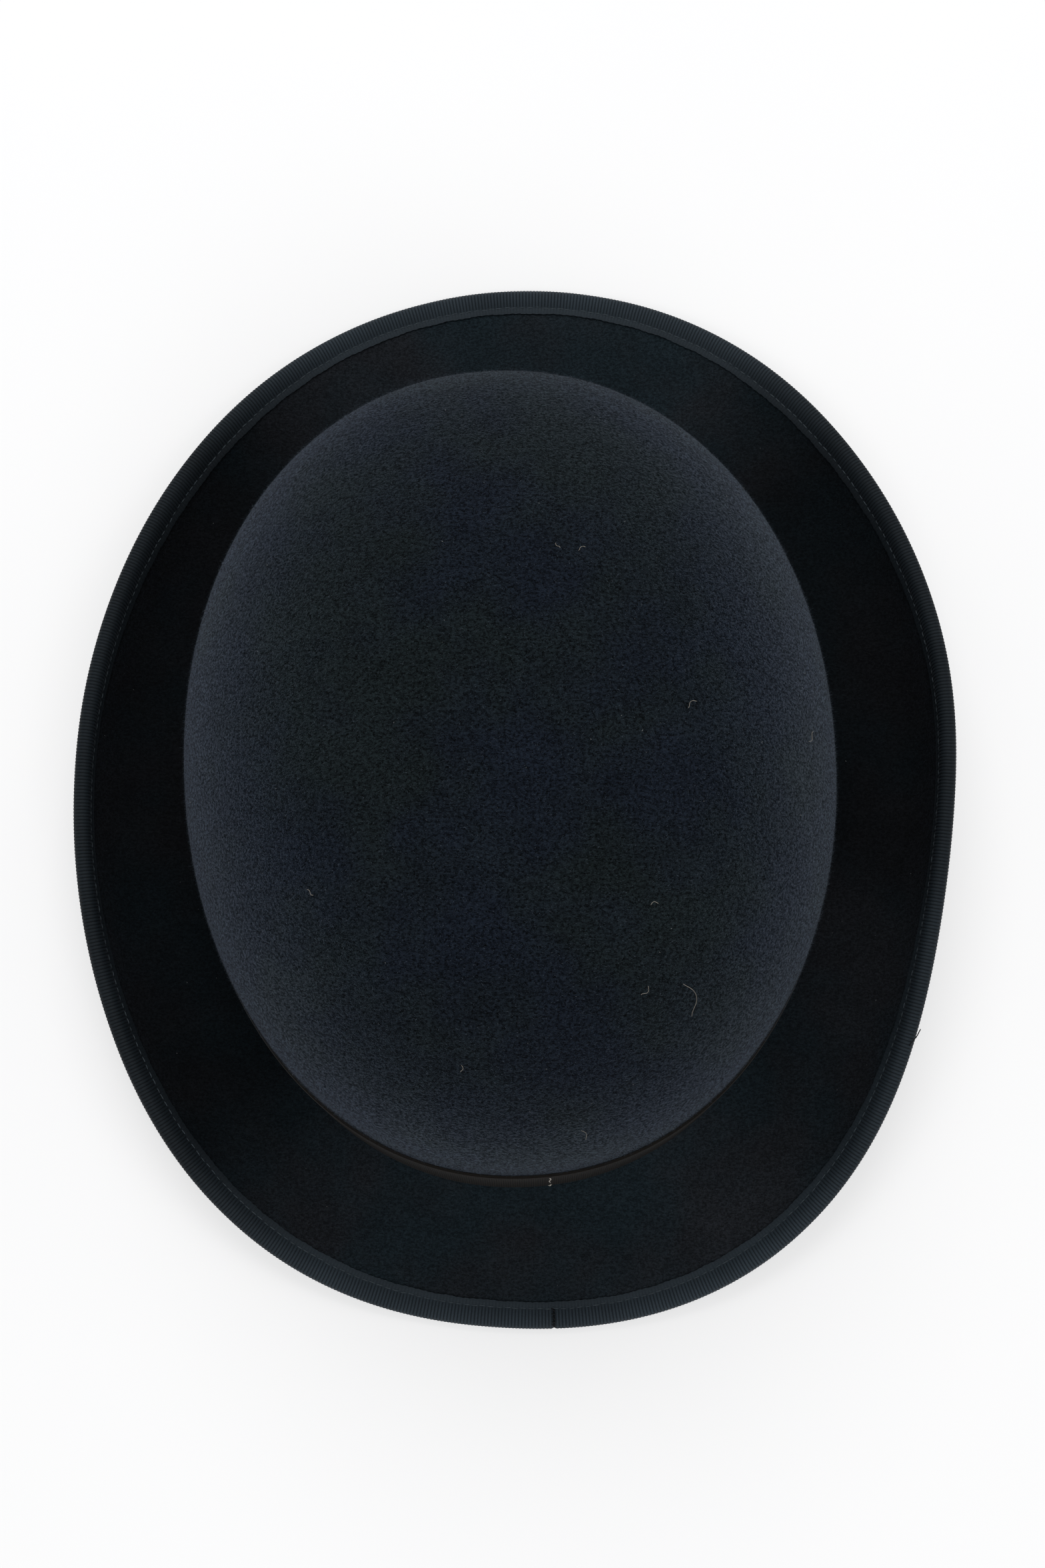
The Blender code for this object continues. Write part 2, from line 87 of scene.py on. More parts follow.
# %% [markdown]
# ## The shape of the felt
# A hat block is an oval that is a little squarer than an ellipse, so one formula with a squareness
# gives both the crown and the brim. Hand work leaves a brim slightly uneven, which a few slow waves
# round the edge copy. The same formulas place every trim. Only where the hat stands is measured from
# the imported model, on its band.

# %% Sizes of the felt
CROWN_HALF_WIDTH, CROWN_HALF_LENGTH, CROWN_SQUARENESS = 0.0870, 0.10795, 2.10
CROWN_TWIST = math.radians(2.6)
CROWN_HEIGHT, GIRTH_HEIGHT, CROWN_TUCK, BACK_TUCK = 0.122, 0.050, 0.002, -0.0005
DOME_SHOULDER, DOME_TIP, TIP_FLAT = 2.3, 2.2, math.radians(80)
BRIM_SIDE_REACH, BRIM_END_REACH, BRIM_SQUARENESS = 0.0356, 0.04415, 2.12
BRIM_TWIST = math.radians(-1.5)
BRIM_HAND = ((3, 0.0012, 0.0008), (4, -0.0005, 0.0005), (5, -0.0001, -0.0009), (6, 0.0003, 0.0002))
CROWN_SHIFT = (0.0022, 0.00135)
HEAD_LINE_END, HEAD_LINE_SIDE = 0.0100, 0.0140
EDGE_END, EDGE_SIDE = 0.0022, 0.0325
LEVEL_SHARE, CURL_ONSET, CURL_GROWTH = 0.14, 1.6, 1.5
ROOT_DIP_END, ROOT_DIP_SIDE, EDGE_SLOPE_SIDE = math.radians(-22), math.radians(-6), math.radians(77)
FELT, CROWN_FILLET = 0.0023, 0.0018
RIBBON, RIBBON_GAP, BINDING_WIDTH = 0.0005, 0.0005, 0.0073
BAND_WIDTH, BAND_LIFT = 0.031, 0.0025
CLEAR = 0.0003
FOLD_RADIUS = FELT / 2 + RIBBON_GAP + RIBBON
TIP_EASE = 0.9            # height share of the dome from which the tip is eased level
BACK, LEFT = math.pi / 2, 0.0
UP = np.array([0, 0, 1.0])
PLACE = np.zeros(3)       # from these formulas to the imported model, measured below


def between(low, high, share):
    return low + (high - low) * share


def smooth(share):
    share = np.clip(share, 0, 1)
    return share * share * (3 - 2 * share)


def unit(vectors):
    return vectors / np.linalg.norm(vectors, axis=-1, keepdims=True)


def onward(ring):
    """Unit steps along a closed ring of points, or along each of several."""
    return unit(np.roll(ring, -1, axis=-2) - np.roll(ring, 1, axis=-2))


def run_length(points):
    """How far each point of a line lies along it."""
    return np.concatenate([[0], np.cumsum(np.linalg.norm(np.diff(points, axis=0), axis=1))])


def oval(angle, half_width, half_length, squareness):
    across = np.abs(np.cos(angle) / half_width) ** squareness
    along = np.abs(np.sin(angle) / half_length) ** squareness
    return (across + along) ** (-1 / squareness)


def girth(angle):
    return oval(angle - CROWN_TWIST, CROWN_HALF_WIDTH, CROWN_HALF_LENGTH, CROWN_SQUARENESS)


def on_plan(angle, reach, height):
    """Points at a reach from the crown's middle."""
    angle, reach, height = np.broadcast_arrays(angle, reach, height)
    across = reach * np.cos(angle) + CROWN_SHIFT[0]
    along = reach * np.sin(angle) + CROWN_SHIFT[1]
    return np.stack([across, along, height], -1) + PLACE


print("crown", 2 * CROWN_HALF_WIDTH / MM, "by", 2 * CROWN_HALF_LENGTH / MM, "mm at its widest")

# %% The crown's surface
def sideness(angle):
    """0 over the level front and back, 1 at the middle of each side."""
    share = (np.abs(np.cos(angle)) - LEVEL_SHARE) / (1 - LEVEL_SHARE)
    return np.clip(share, 0, 1) ** CURL_ONSET


def head_line(angle):
    return between(HEAD_LINE_END, HEAD_LINE_SIDE, sideness(angle))


def settle(angle, rise):
    share = rise / CROWN_HEIGHT
    return rise + head_line(angle) * (1 - share) + HEAD_LINE_END * share


def wall_reach(angle, rise):
    """The wall draws in a little from the widest ring to the head line, least at the back."""
    tuck = between(CROWN_TUCK, BACK_TUCK, np.clip(np.sin(angle), 0, 1) ** 4)
    return girth(angle) - tuck * (1 - np.sin(math.pi / 2 * np.clip(rise / GIRTH_HEIGHT, 0, 1)))


def wall_point(angle, rise):
    return on_plan(angle, wall_reach(angle, rise), settle(angle, rise))


def dome_point(angle, climb):
    """The crown above its widest ring. The tip is eased level, where the block has no peak."""
    reach = girth(angle) * np.cos(climb) ** (2 / DOME_SHOULDER)
    top = (np.sin(climb) / math.sin(TIP_FLAT)) ** (2 / DOME_TIP)
    peak = math.sin(TIP_FLAT) ** (-2 / DOME_TIP)
    top = top - (peak - 1) * (np.clip(top - TIP_EASE, 0, 1) / (peak - TIP_EASE)) ** 2
    return on_plan(angle, reach, settle(angle, between(GIRTH_HEIGHT, CROWN_HEIGHT, top)))


def dome_over(angle, reach):
    """The crown over a place at a reach from its middle."""
    climb = np.arccos(np.clip((reach / girth(angle)) ** (DOME_SHOULDER / 2), 0, 1))
    return dome_point(angle, climb)


def normals(rows):
    """Unit normals of rows of points that close round the hat, outwards and upwards."""
    return unit(np.cross(np.gradient(rows, axis=0), onward(rows)))


def band_points(angle, rise, lift):
    """Points lifted out from the crown's wall, on its true normal."""
    step = 0.001
    around = wall_point(angle + step, rise) - wall_point(angle - step, rise)
    along = wall_point(angle, rise + step) - wall_point(angle, rise - step)
    return wall_point(angle, rise) + np.asarray(lift)[..., None] * unit(np.cross(around, along))


PACKED_STATIONS = np.arange(48) * math.tau / 48
band_rows = np.array([
    band_points(PACKED_STATIONS, BAND_LIFT + BAND_WIDTH * share, RIBBON_GAP + RIBBON / 2)
    for share in np.linspace(0, 1, 4)
]).reshape(-1, 3)
low, high = (np.array(corner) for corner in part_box("hat_band"))
PLACE[:] = (low + high) / 2 - (band_rows.min(axis=0) + band_rows.max(axis=0)) / 2
print("from the formulas to the packed model", np.round(PLACE / MM, 3), "mm")

# %% The brim's surface
def brim_outline(angle):
    """From the crown's middle to the brim's outermost edge, binding and all."""
    half_width, half_length = CROWN_HALF_WIDTH + BRIM_SIDE_REACH, CROWN_HALF_LENGTH + BRIM_END_REACH
    reach = oval(angle - BRIM_TWIST, half_width, half_length, BRIM_SQUARENESS)
    for waves, cosine, sine in BRIM_HAND:
        reach = reach + cosine * np.cos(waves * angle) + sine * np.sin(waves * angle)
    return reach - CROWN_SHIFT[0] * np.cos(angle) - CROWN_SHIFT[1] * np.sin(angle)


def root_dip(angle):
    return between(ROOT_DIP_END, ROOT_DIP_SIDE, sideness(angle))


def brim_sweep(angle, width, steps=41):
    """Runs out over the brim: its slope first grows, then is even under the binding."""
    along = np.linspace(0, 1, steps)[:, None] * width
    bend = np.clip(along / (width - BINDING_WIDTH - 2 * CLEAR), 0, 1) ** CURL_GROWTH
    slope = between(root_dip(angle), EDGE_SLOPE_SIDE * sideness(angle), bend)
    middle = (slope[1:] + slope[:-1]) / 2
    start = np.zeros((1, len(angle)))
    step = width / (steps - 1)
    out = np.vstack([start, np.cumsum(np.cos(middle) * step, axis=0)])
    up = np.vstack([start, np.cumsum(np.sin(middle) * step, axis=0)])
    return out, up, bend


def brim_rows(angle, shares):
    """The brim's top at shares of its width, from the head line to its edge."""
    reach = brim_outline(angle) - FOLD_RADIUS - FELT / 2 * np.sin(EDGE_SLOPE_SIDE * sideness(angle))
    base = wall_reach(angle, 0)
    width = reach - base
    for _ in range(30):
        out, up, bend = brim_sweep(angle, width)
        width = width + reach - base - out[-1]
    edge = between(EDGE_END, EDGE_SIDE, sideness(angle)) + FELT / 2
    height = head_line(angle) + up + (edge - head_line(angle) - up[-1]) * smooth(bend)
    rows = []
    for share in shares:
        at = share * (len(out) - 1)
        first = min(int(at), len(out) - 2)
        part = at - first
        row_out = between(out[first], out[first + 1], part)
        rows.append(on_plan(angle, base + row_out, between(height[first], height[first + 1], part)))
    return np.array(rows)


def fillet_rows(angle, steps):
    """The rounded turn from crown to brim."""
    turn = math.pi / 2 + root_dip(angle)
    reach = wall_reach(angle, 0) + CROWN_FILLET
    height = head_line(angle) + CROWN_FILLET * np.tan(turn / 2)
    at = math.pi + turn * np.linspace(0, 1, steps)[:, None]
    return on_plan(angle, reach + CROWN_FILLET * np.cos(at), height + CROWN_FILLET * np.sin(at))


def even_turns(count, outline):
    """Angles whose points lie evenly spaced along an outline, so that ribs and stitches do."""
    fine = np.linspace(0, math.tau, 2881)
    run = run_length(on_plan(fine, outline(fine), 0))
    return np.interp(np.arange(count) / count * run[-1], run, fine), run[-1]


print("round the brim's edge", round(even_turns(8, brim_outline)[1] / MM), "mm")

# %% [markdown]
# ## From rows of points to a mesh
# Felt, ribbon, leather and cord are all a section carried along a line, so one function turns a loop
# of rows into a closed mesh. It also lays a map on the faces, measured in metres along and across
# the piece, which lets a weave follow the cloth. Spin or Screw would do for a round hat, but not for
# an oval one whose brim rises at the sides.

# %% The skin of a piece
def mesh_of(name, loop, whole=True, tips=False, crease=50):
    """A closed mesh from rows that run round a section and close on each other.

    Whole rows also close round the hat, and others get end faces. With tips, the first and the
    last row are small rings, each closed at a point.
    """
    loop = np.asarray(loop)
    count, length = loop.shape[:2]
    r, c = np.meshgrid(np.arange(count - tips), np.arange(length - (not whole)), indexing="ij")
    corners = [(r, c), (r + 1, c), (r + 1, c + 1), (r, c + 1)]
    quads = np.stack([a % count * length + b % length for a, b in corners], -1).reshape(-1, 4)
    middle = np.linalg.norm(np.diff(loop[count // 4], axis=0, append=loop[count // 4][:1]), axis=1)
    steps = np.linalg.norm(np.diff(loop, axis=0, append=loop[:1]), axis=2).mean(axis=1)
    along, across = (np.concatenate([[0], np.cumsum(part)]) for part in (middle, steps))
    cloth = np.stack([np.stack([along[b], across[a]], -1) for a, b in corners], 2).reshape(-1, 2)
    points, faces = loop.reshape(-1, 3), quads.tolist()
    if tips:
        points = np.vstack([points, loop[0].mean(axis=0), loop[-1].mean(axis=0)])
        last = (count - 1) * length
        for s in range(length):
            t = (s + 1) % length
            faces += [(len(points) - 2, s, t), (len(points) - 1, last + t, last + s)]
    if not whole:
        for i in range(count // 2 - 1):
            i, j, k, n = i * length, (i + 1) * length, (count - 2 - i) * length, (count - 1 - i) * length
            faces += [(j, i, n, k), tuple(v + length - 1 for v in (i, j, k, n))]
    a, b, d = (points[quads[:, i]] for i in (0, 1, 2))
    inside_out = np.einsum("ij,ij->i", a - points.mean(axis=0), np.cross(b - a, d - a)).sum() < 0
    if inside_out and not tips:
        faces = [face[::-1] for face in faces]
        cloth = cloth.reshape(-1, 4, 2)[:, ::-1].reshape(-1, 2)
    mesh = bpy.data.meshes.new(name)
    mesh.from_pydata(points.tolist(), [], faces)
    spread = np.zeros((len(mesh.loops), 2), np.float32)
    spread[:len(cloth)] = cloth
    mesh.uv_layers.new(name="cloth").data.foreach_set("uv", spread.ravel())
    mesh.shade_smooth()
    mesh.set_sharp_from_angle(angle=math.radians(crease))
    return mesh


def wall_of(rows, thickness, **how):
    """The loop of a sheet whose middle is these rows."""
    rows = np.asarray(rows)
    out = normals(rows) if how.get("whole", True) else flat_normals(rows)
    return np.concatenate([rows + out * thickness / 2, (rows - out * thickness / 2)[::-1]])


def flat_normals(rows):
    """Normals of rows that don't close round the hat."""
    return unit(np.cross(np.gradient(rows, axis=0), np.gradient(rows, axis=1)))


def strand(path, radius, around=8, lobes=0, lay=3 * MM, relief=0.25, closed=False):
    """The loop of a cord along a path. Lobes twist round it like the plies of a thread."""
    path = np.asarray(path, float)
    ahead = np.roll(path, -1, 0) - np.roll(path, 1, 0) if closed else np.gradient(path, axis=0)
    side = unit(np.cross(ahead, (0.06, 0.02, 1.0)))
    up = unit(np.cross(side, ahead))
    run = run_length(path)
    turn = (np.arange(around) * math.tau / around)[:, None]
    swell = radius * (1 + relief * (np.cos(lobes * turn - math.tau * run / lay) if lobes else 0 * run))
    return path + (swell * np.cos(turn))[..., None] * side + (swell * np.sin(turn))[..., None] * up


print("skins, walls and strands ready")

# %% A finished piece
def piece(name, mesh, finish, slot, *nodes):
    """Puts a mesh in the scene in its finish, riding on the hat, in place of the solids named."""
    mesh.name = name
    mesh.materials.clear()
    mesh.materials.append(finish)
    made = bpy.data.objects.new(name, mesh)
    bpy.context.scene.collection.objects.link(made)
    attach(made, "root")
    if nodes:
        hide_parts(*nodes)
    print(name, sum(len(face.vertices) - 2 for face in mesh.polygons), "triangles")
    return made


def skin(name, loop, finish, slot, *nodes, **how):
    """A piece made straight from a loop of rows."""
    return piece(name, mesh_of(name, loop, **how), finish, slot, *nodes)


# %% [markdown]
# ## Node trees written as sums
# Materials and Geometry Nodes are both trees of nodes. One class wraps an output so that Python's
# own + - * / and ** add Math nodes, and one method makes any other node, so a finish stays short.

# %% Wires and nets
class Wire:
    """One output of a node. A sum on it in Python adds a Math node."""

    def __init__(self, net, socket):
        self.net, self.socket = net, socket

    def math(self, operation, *values):
        return self.net.node("ShaderNodeMath", {"operation": operation}, dict(enumerate(values)))

    def __add__(self, other):
        return self.math("ADD", self, other)

    def __sub__(self, other):
        return self.math("SUBTRACT", self, other)

    def __rsub__(self, other):
        return self.math("SUBTRACT", other, self)

    def __mul__(self, other):
        return self.math("MULTIPLY", self, other)

    def __truediv__(self, other):
        return self.math("DIVIDE", self, other)

    def __pow__(self, other):
        return self.math("POWER", self, other)

    def sine(self):
        return self.math("SINE", self)

    def absolute(self):
        return self.math("ABSOLUTE", self)

    __radd__, __rmul__ = __add__, __mul__


class Net:
    """A node tree, and the one way that its nodes are made."""

    def __init__(self, tree):
        self.tree = tree

    def node(self, kind, settings=None, sockets=None, out=0):
        made = self.tree.nodes.new(kind)
        for name, value in (settings or {}).items():
            if name == "stops":
                for element, (place, color) in zip(made.color_ramp.elements, value):
                    element.position, element.color = place, color
            else:
                setattr(made, name, value)
        for name, value in (sockets or {}).items():
            if isinstance(value, Wire):
                self.tree.links.new(value.socket, made.inputs[name])
            else:
                made.inputs[name].default_value = value
        return Wire(self, made.outputs[out])


print("nets ready")

# %% Finishes
def ink(red, green, blue):
    """A colour as a picker shows it, from 0 to 255, made linear."""
    parts = np.array([red, green, blue]) / 255
    linear = np.where(parts <= 0.04045, parts / 12.92, ((parts + 0.055) / 1.055) ** 2.4)
    return (*linear, 1.0)


COPIED = ("Roughness", "Specular IOR Level", "Sheen Weight", "Sheen Roughness", "Sheen Tint")


class Finish(Net):
    """A material on one Principled shader. What is even all over is set on its sockets."""

    def __init__(self, name, **even):
        self.material = bpy.data.materials.new(name)
        self.material.use_nodes = True
        super().__init__(self.material.node_tree)
        self.shader = self.tree.nodes["Principled BSDF"]
        for words, value in even.items():
            self.shader.inputs[words.replace("_", " ")].default_value = value

    def place(self):
        return self.node("ShaderNodeTexCoord", out="Object")

    def cloth(self):
        return self.node("ShaderNodeUVMap", {"uv_map": "cloth"})

    def noise(self, at, scale, detail=2.0, roughness=0.5, stretch=(1, 1, 1)):
        at = self.node("ShaderNodeVectorMath", {"operation": "MULTIPLY"}, {0: at, 1: stretch})
        sockets = {"Vector": at, "Scale": scale, "Detail": detail, "Roughness": roughness}
        return self.node("ShaderNodeTexNoise", None, sockets)

    def part(self, at, axis):
        return self.node("ShaderNodeSeparateXYZ", None, {0: at}, axis)

    def step(self, share, low, high):
        sockets = {"Value": share, "From Min": low, "From Max": high}
        return self.node("ShaderNodeMapRange", {"interpolation_type": "SMOOTHSTEP"}, sockets)

    def ends(self, sides, ends):
        """Painted light and shade: a factor on colour that grows from the hat's sides to its front and
        back, more on the right behind.
        """
        at = self.place()
        across, along = self.part(at, 0), self.part(at, 1)
        away = (across * across + along * along) ** 0.5
        behind = along.math("MAXIMUM", along, 0.0)
        # More painted light at the back on the hat's right.
        corner = self.step(behind * across * -1.0 / (away * away), 0.1, 0.5)
        return (self.step(along.absolute() / away, 0.72, 0.99) + corner * 0.55) * (ends - sides) + sides

    def blend(self, low, high, share):
        return self.node("ShaderNodeMix", {"data_type": "RGBA"}, {0: share, 6: low, 7: high}, 2)

    def shade(self, color, share):
        return self.node("ShaderNodeVectorMath", {"operation": "SCALE"}, {0: color, "Scale": share})

    def wear(self, color=None, roughness=None, height=None, relief=0.1 * MM):
        """Links what changes over the surface, and gives the material."""
        for name, wire in (("Base Color", color), ("Roughness", roughness)):
            if wire is not None:
                self.tree.links.new(wire.socket, self.shader.inputs[name])
        if height is not None:
            bump = self.node("ShaderNodeBump", None, {"Height": height, "Distance": relief})
            self.tree.links.new(bump.socket, self.shader.inputs["Normal"])
        return self.material

    def speckle(self, share, **even):
        """Mixes in a second Principled shader that differs in a few even sockets."""
        second = self.tree.nodes.new("ShaderNodeBsdfPrincipled")
        for socket in self.shader.inputs:
            if socket.links:
                self.tree.links.new(socket.links[0].from_socket, second.inputs[socket.name])
            elif socket.name in COPIED:
                second.inputs[socket.name].default_value = socket.default_value
        for words, value in even.items():
            second.inputs[words.replace("_", " ")].default_value = value
        mixed = self.node("ShaderNodeMixShader", None, {
            0: share, 1: Wire(self, self.shader.outputs[0]), 2: Wire(self, second.outputs[0])})
        self.tree.links.new(mixed.socket, self.tree.nodes["Material Output"].inputs["Surface"])


print("black felt's ink", [round(part, 4) for part in ink(24, 29, 35)[:3]])

# %% Geometry Nodes
class Growth(Net):
    """A Geometry Nodes tree with named inputs, run on a mesh and kept as a plain mesh."""

    def __init__(self, name, **inputs):
        super().__init__(bpy.data.node_groups.new(name, "GeometryNodeTree"))
        face = self.tree.interface
        kinds = {"Geometry": "Geometry", "Finish": "Material", "Seed": "Int"}
        self.sockets = {}
        for title in ("Geometry", "Finish", *inputs):
            kind = "NodeSocket" + kinds.get(title, "Float")
            self.sockets[title] = face.new_socket(title, in_out="INPUT", socket_type=kind)
        face.new_socket("Geometry", in_out="OUTPUT", socket_type="NodeSocketGeometry")
        self.entry = self.tree.nodes.new("NodeGroupInput")
        self.usual = inputs

    def given(self, title):
        return Wire(self, self.entry.outputs[title])

    def named(self, name, kind="FLOAT"):
        return self.node("GeometryNodeInputNamedAttribute", {"data_type": kind}, {"Name": name})

    def vector(self, operation, first, second):
        key = "Scale" if operation == "SCALE" else 1
        return self.node("ShaderNodeVectorMath", {"operation": operation}, {0: first, key: second})

    def close(self, geometry):
        """Realises the instances, sets the finish and ends the tree."""
        plain = self.node("GeometryNodeRealizeInstances", None, {"Geometry": geometry})
        dressed = self.node("GeometryNodeSetMaterial", None, {0: plain, "Material": self.given("Finish")})
        leave = self.tree.nodes.new("NodeGroupOutput")
        self.tree.links.new(dressed.socket, leave.inputs[0])

    def run(self, mesh, finish, **changed):
        carrier = bpy.data.objects.new("carrier", mesh)
        bpy.context.scene.collection.objects.link(carrier)
        modifier = carrier.modifiers.new("growth", "NODES")
        modifier.node_group = self.tree
        for title, value in {**self.usual, **changed, "Finish": finish}.items():
            modifier[self.sockets[title].identifier] = value
        bpy.context.view_layer.update()
        grown = carrier.evaluated_get(bpy.context.evaluated_depsgraph_get())
        made = bpy.data.meshes.new_from_object(grown)
        carrier.modifiers.remove(modifier)
        bpy.data.objects.remove(carrier)
        return made


def attribute(mesh, name, values, kind="FLOAT"):
    field = "vector" if kind == "FLOAT_VECTOR" else "value"
    values = np.asarray(values, np.float32).ravel()
    mesh.attributes.new(name, kind, "POINT").data.foreach_set(field, values)


print("growth ready")

# %% [markdown]
# ## The felt and its nap
# Fur felt is matted, not woven, so its colour is a fine grain of darker and lighter hairs over slow
# clouds where the dye took differently. A sheen stands for the hairs too fine to model, which is
# why the crown looks greyer where it turns away. It is speckled like the grain: two shaders that
# differ only in their sheen are mixed by it. The brim has its own copy of the felt, with painted
# shade at the sides and painted light in front and behind. Short loose hairs are also grown on the
# felt, with a few longer strays, or the edge of the crown would be as clean as plastic.

# %% Felt finish
def felt_finish(name, first_dye, second_dye, coarse, sheen, painted_light_shade):
    """Matted fur. 'coarse' is how far the grain stands out. The last argument, when given, is painted
    light and shade: two factors on the colour, at the hat's sides and at its front and back, with
    more at the back on the right."""
    felt = Finish(name, Roughness=0.95, Specular_IOR_Level=0.05, Sheen_Weight=0.1 * sheen,
                  Sheen_Roughness=0.22, Sheen_Tint=ink(168, 182, 204))
    at = felt.place()
    dye = felt.step(felt.noise(at, 19, 3, 0.6), 0.38, 0.62)
    cloud = felt.noise(at, 70, 4, 0.65)
    grain = felt.step(felt.noise(at, 2700, 3, 0.8), 0.35, 0.68)
    clump = felt.step(felt.noise(at, 1150, 2, 0.7, (1, 1.3, 1)), 0.34, 0.68)
    mottle = (grain * 0.45 + clump * 0.55) * (2 * coarse) + (1 - coarse)
    color = felt.shade(felt.blend(first_dye, second_dye, dye), (cloud * 0.7 + 0.65) * mottle)
    # Painted light and shade: the colour is darker at the hat's sides and lighter in front and behind,
    # most at the back right.
    if painted_light_shade:
        color = felt.shade(color, felt.ends(*painted_light_shade))
    felt.wear(color, height=grain * 0.6 + clump * 0.6, relief=0.16 * MM)
    felt.speckle(grain * 0.4 + clump * 0.6, Sheen_Weight=1.9 * sheen)
    return felt.material


FELT_FINISH = felt_finish("crown_fur_felt", ink(22, 28, 37), ink(24, 31, 33), 0.98, 0.38, None)
# The brim's copy carries painted shade at the sides and painted light in front and behind.
BRIM_FINISH = felt_finish("brim_fur_felt", ink(18, 25, 29), ink(22, 24, 27), 0.6, 0.04, (0.62, 2.1))
print("felt finish has", len(FELT_FINISH.node_tree.nodes), "nodes")

# %% The blocked hood
HOOD_TURNS = even_turns(264, brim_outline)[0]
dome = [dome_point(HOOD_TURNS, climb) for climb in np.radians([89.4, *np.linspace(88, 0, 46)])]
fillet_top = fillet_rows(HOOD_TURNS, 7)
top_rise = (fillet_top[0][:, 2] - PLACE[2] - head_line(HOOD_TURNS))
wall = [wall_point(HOOD_TURNS, between(GIRTH_HEIGHT, top_rise, share)) for share in np.arange(1, 15) / 15]
brim = brim_rows(HOOD_TURNS, np.linspace(0, 1, 50)[1:])
felt_top = np.concatenate([dome, wall, fillet_top, brim])
felt_under = felt_top - FELT * normals(felt_top)
loop = np.concatenate([felt_top, felt_under[::-1]])
hood_mesh = skin("blocked_hood", loop, FELT_FINISH, "felt", "felt_hood", tips=True).data
hood_mesh.materials.append(BRIM_FINISH)
crown_rows = len(dome) + len(wall)
row_of = np.array([face.vertices[0] // len(HOOD_TURNS) for face in hood_mesh.polygons])
on_brim = (row_of >= crown_rows) & (row_of < 2 * len(felt_top) - crown_rows)
hood_mesh.polygons.foreach_set("material_index", on_brim.astype(np.int32))

# %% Loose hairs, grown by Geometry Nodes
def hair_tree():
    """Three-sided hairs scattered where 'furry' says, leaning along 'comb'."""
    tree = Growth("loose_hairs", Density=1.0, Seed=1, Length=0.6 * MM, Thickness=0.03 * MM, Stray=0.9)
    spots = tree.node("GeometryNodeDistributePointsOnFaces", None, {
        "Mesh": tree.given("Geometry"), "Seed": tree.given("Seed"),
        "Density": tree.given("Density") * tree.named("furry")})
    stray = tree.node("FunctionNodeRandomValue", {"data_type": "FLOAT_VECTOR"},
                      {0: (-1, -1, -1), 1: (1, 1, 1), "Seed": tree.given("Seed")})
    lean = tree.vector("SCALE", stray, tree.given("Stray"))
    away = tree.vector("ADD", tree.vector("ADD", tree.named("out", "FLOAT_VECTOR"), lean),
                       tree.named("comb", "FLOAT_VECTOR"))
    turn = tree.node("FunctionNodeAlignRotationToVector", {"axis": "Z"}, {"Vector": away})
    size = tree.node("FunctionNodeRandomValue", {"data_type": "FLOAT"}, {2: 0.45, 3: 1.35}, 1)
    hair = tree.node("GeometryNodeMeshCone", None, {
        "Vertices": 3, "Radius Top": 0.0, "Radius Bottom": tree.given("Thickness"),
        "Depth": tree.given("Length")})
    tree.close(tree.node("GeometryNodeInstanceOnPoints", None, {
        "Points": spots, "Instance": hair, "Rotation": turn, "Scale": size}))
    return tree


def carrier(rows, furry, comb):
    """An open sheet of the felt's outside that only carries where hairs grow and how they lie."""
    rows, length = np.asarray(rows), rows.shape[1]
    r, c = np.meshgrid(np.arange(len(rows) - 1), np.arange(length), indexing="ij")
    quads = [(r + i) * length + (c + j) % length for i, j in ((0, 0), (1, 0), (1, 1), (0, 1))]
    mesh = bpy.data.meshes.new("carrier")
    mesh.from_pydata(rows.reshape(-1, 3).tolist(), [], np.stack(quads, -1).reshape(-1, 4).tolist())
    attribute(mesh, "furry", furry)
    attribute(mesh, "out", normals(rows), "FLOAT_VECTOR")
    attribute(mesh, "comb", comb, "FLOAT_VECTOR")
    spread = sum(face.area * furry.ravel()[face.vertices[0]] for face in mesh.polygons)
    return mesh, spread


def grow(name, sheet, hairs, finish, **changed):
    """A piece of so many hairs over the sheet that carries them."""
    mesh, spread = sheet
    piece(name, HAIRS.run(mesh, finish, Density=hairs / spread, **changed), finish, "felt")


HAIRS = hair_tree()
around = onward(felt_top)
every_row = np.arange(len(felt_top))[:, None] * np.ones(len(HOOD_TURNS))
band_from = len(dome) + 7          # the band hides the wall below this row
bare_from = len(dome) + 22         # the brim is bare beyond this row, past the foot of the band
bare_to = len(felt_top) - 10       # and the binding covers it from this one
rows_in_crown = (every_row < band_from) * 1.0
rows_in_brim = ((every_row > bare_from) & (every_row < bare_to)) * 1.0
print("nap grows on", int(rows_in_crown[:, 0].sum()), "rows of the crown and",
      int(rows_in_brim[:, 0].sum()), "of the brim")

# %% Nap on the crown and the brim
def nap_finish(name, root, tip, sheen):
    nap = Finish(name, Roughness=0.9, Specular_IOR_Level=0.15, Sheen_Weight=sheen,
                 Sheen_Roughness=0.3, Sheen_Tint=ink(168, 180, 204))
    return nap.wear(nap.blend(root, tip, nap.step(nap.noise(nap.place(), 1700, 1), 0.5, 0.75)))


NAP_FINISH = nap_finish("crown_nap", ink(18, 23, 29), ink(100, 110, 122), 0.7)
BRIM_NAP_FINISH = nap_finish("brim_nap", ink(8, 10, 12), ink(34, 39, 42), 0.05)
HAIRS_EACH, STRAYS = 46500, 9000
CROWN_SHEET = carrier(felt_top, rows_in_crown, 0.7 * around)
for seed in (1, 2, 3):
    grow(f"crown_nap_{seed}", CROWN_SHEET, HAIRS_EACH, NAP_FINISH, Seed=seed,
         Length=(0.45 + 0.1 * seed) * MM)
grow("crown_strays", CROWN_SHEET, STRAYS, NAP_FINISH, Seed=5, Length=1.5 * MM,
     Thickness=0.025 * MM, Stray=1.1)
BRIM_SHEET = carrier(felt_top, rows_in_brim, 0.9 * around)
grow("brim_nap", BRIM_SHEET, HAIRS_EACH, BRIM_NAP_FINISH, Seed=4, Length=0.4 * MM, Stray=0.6)
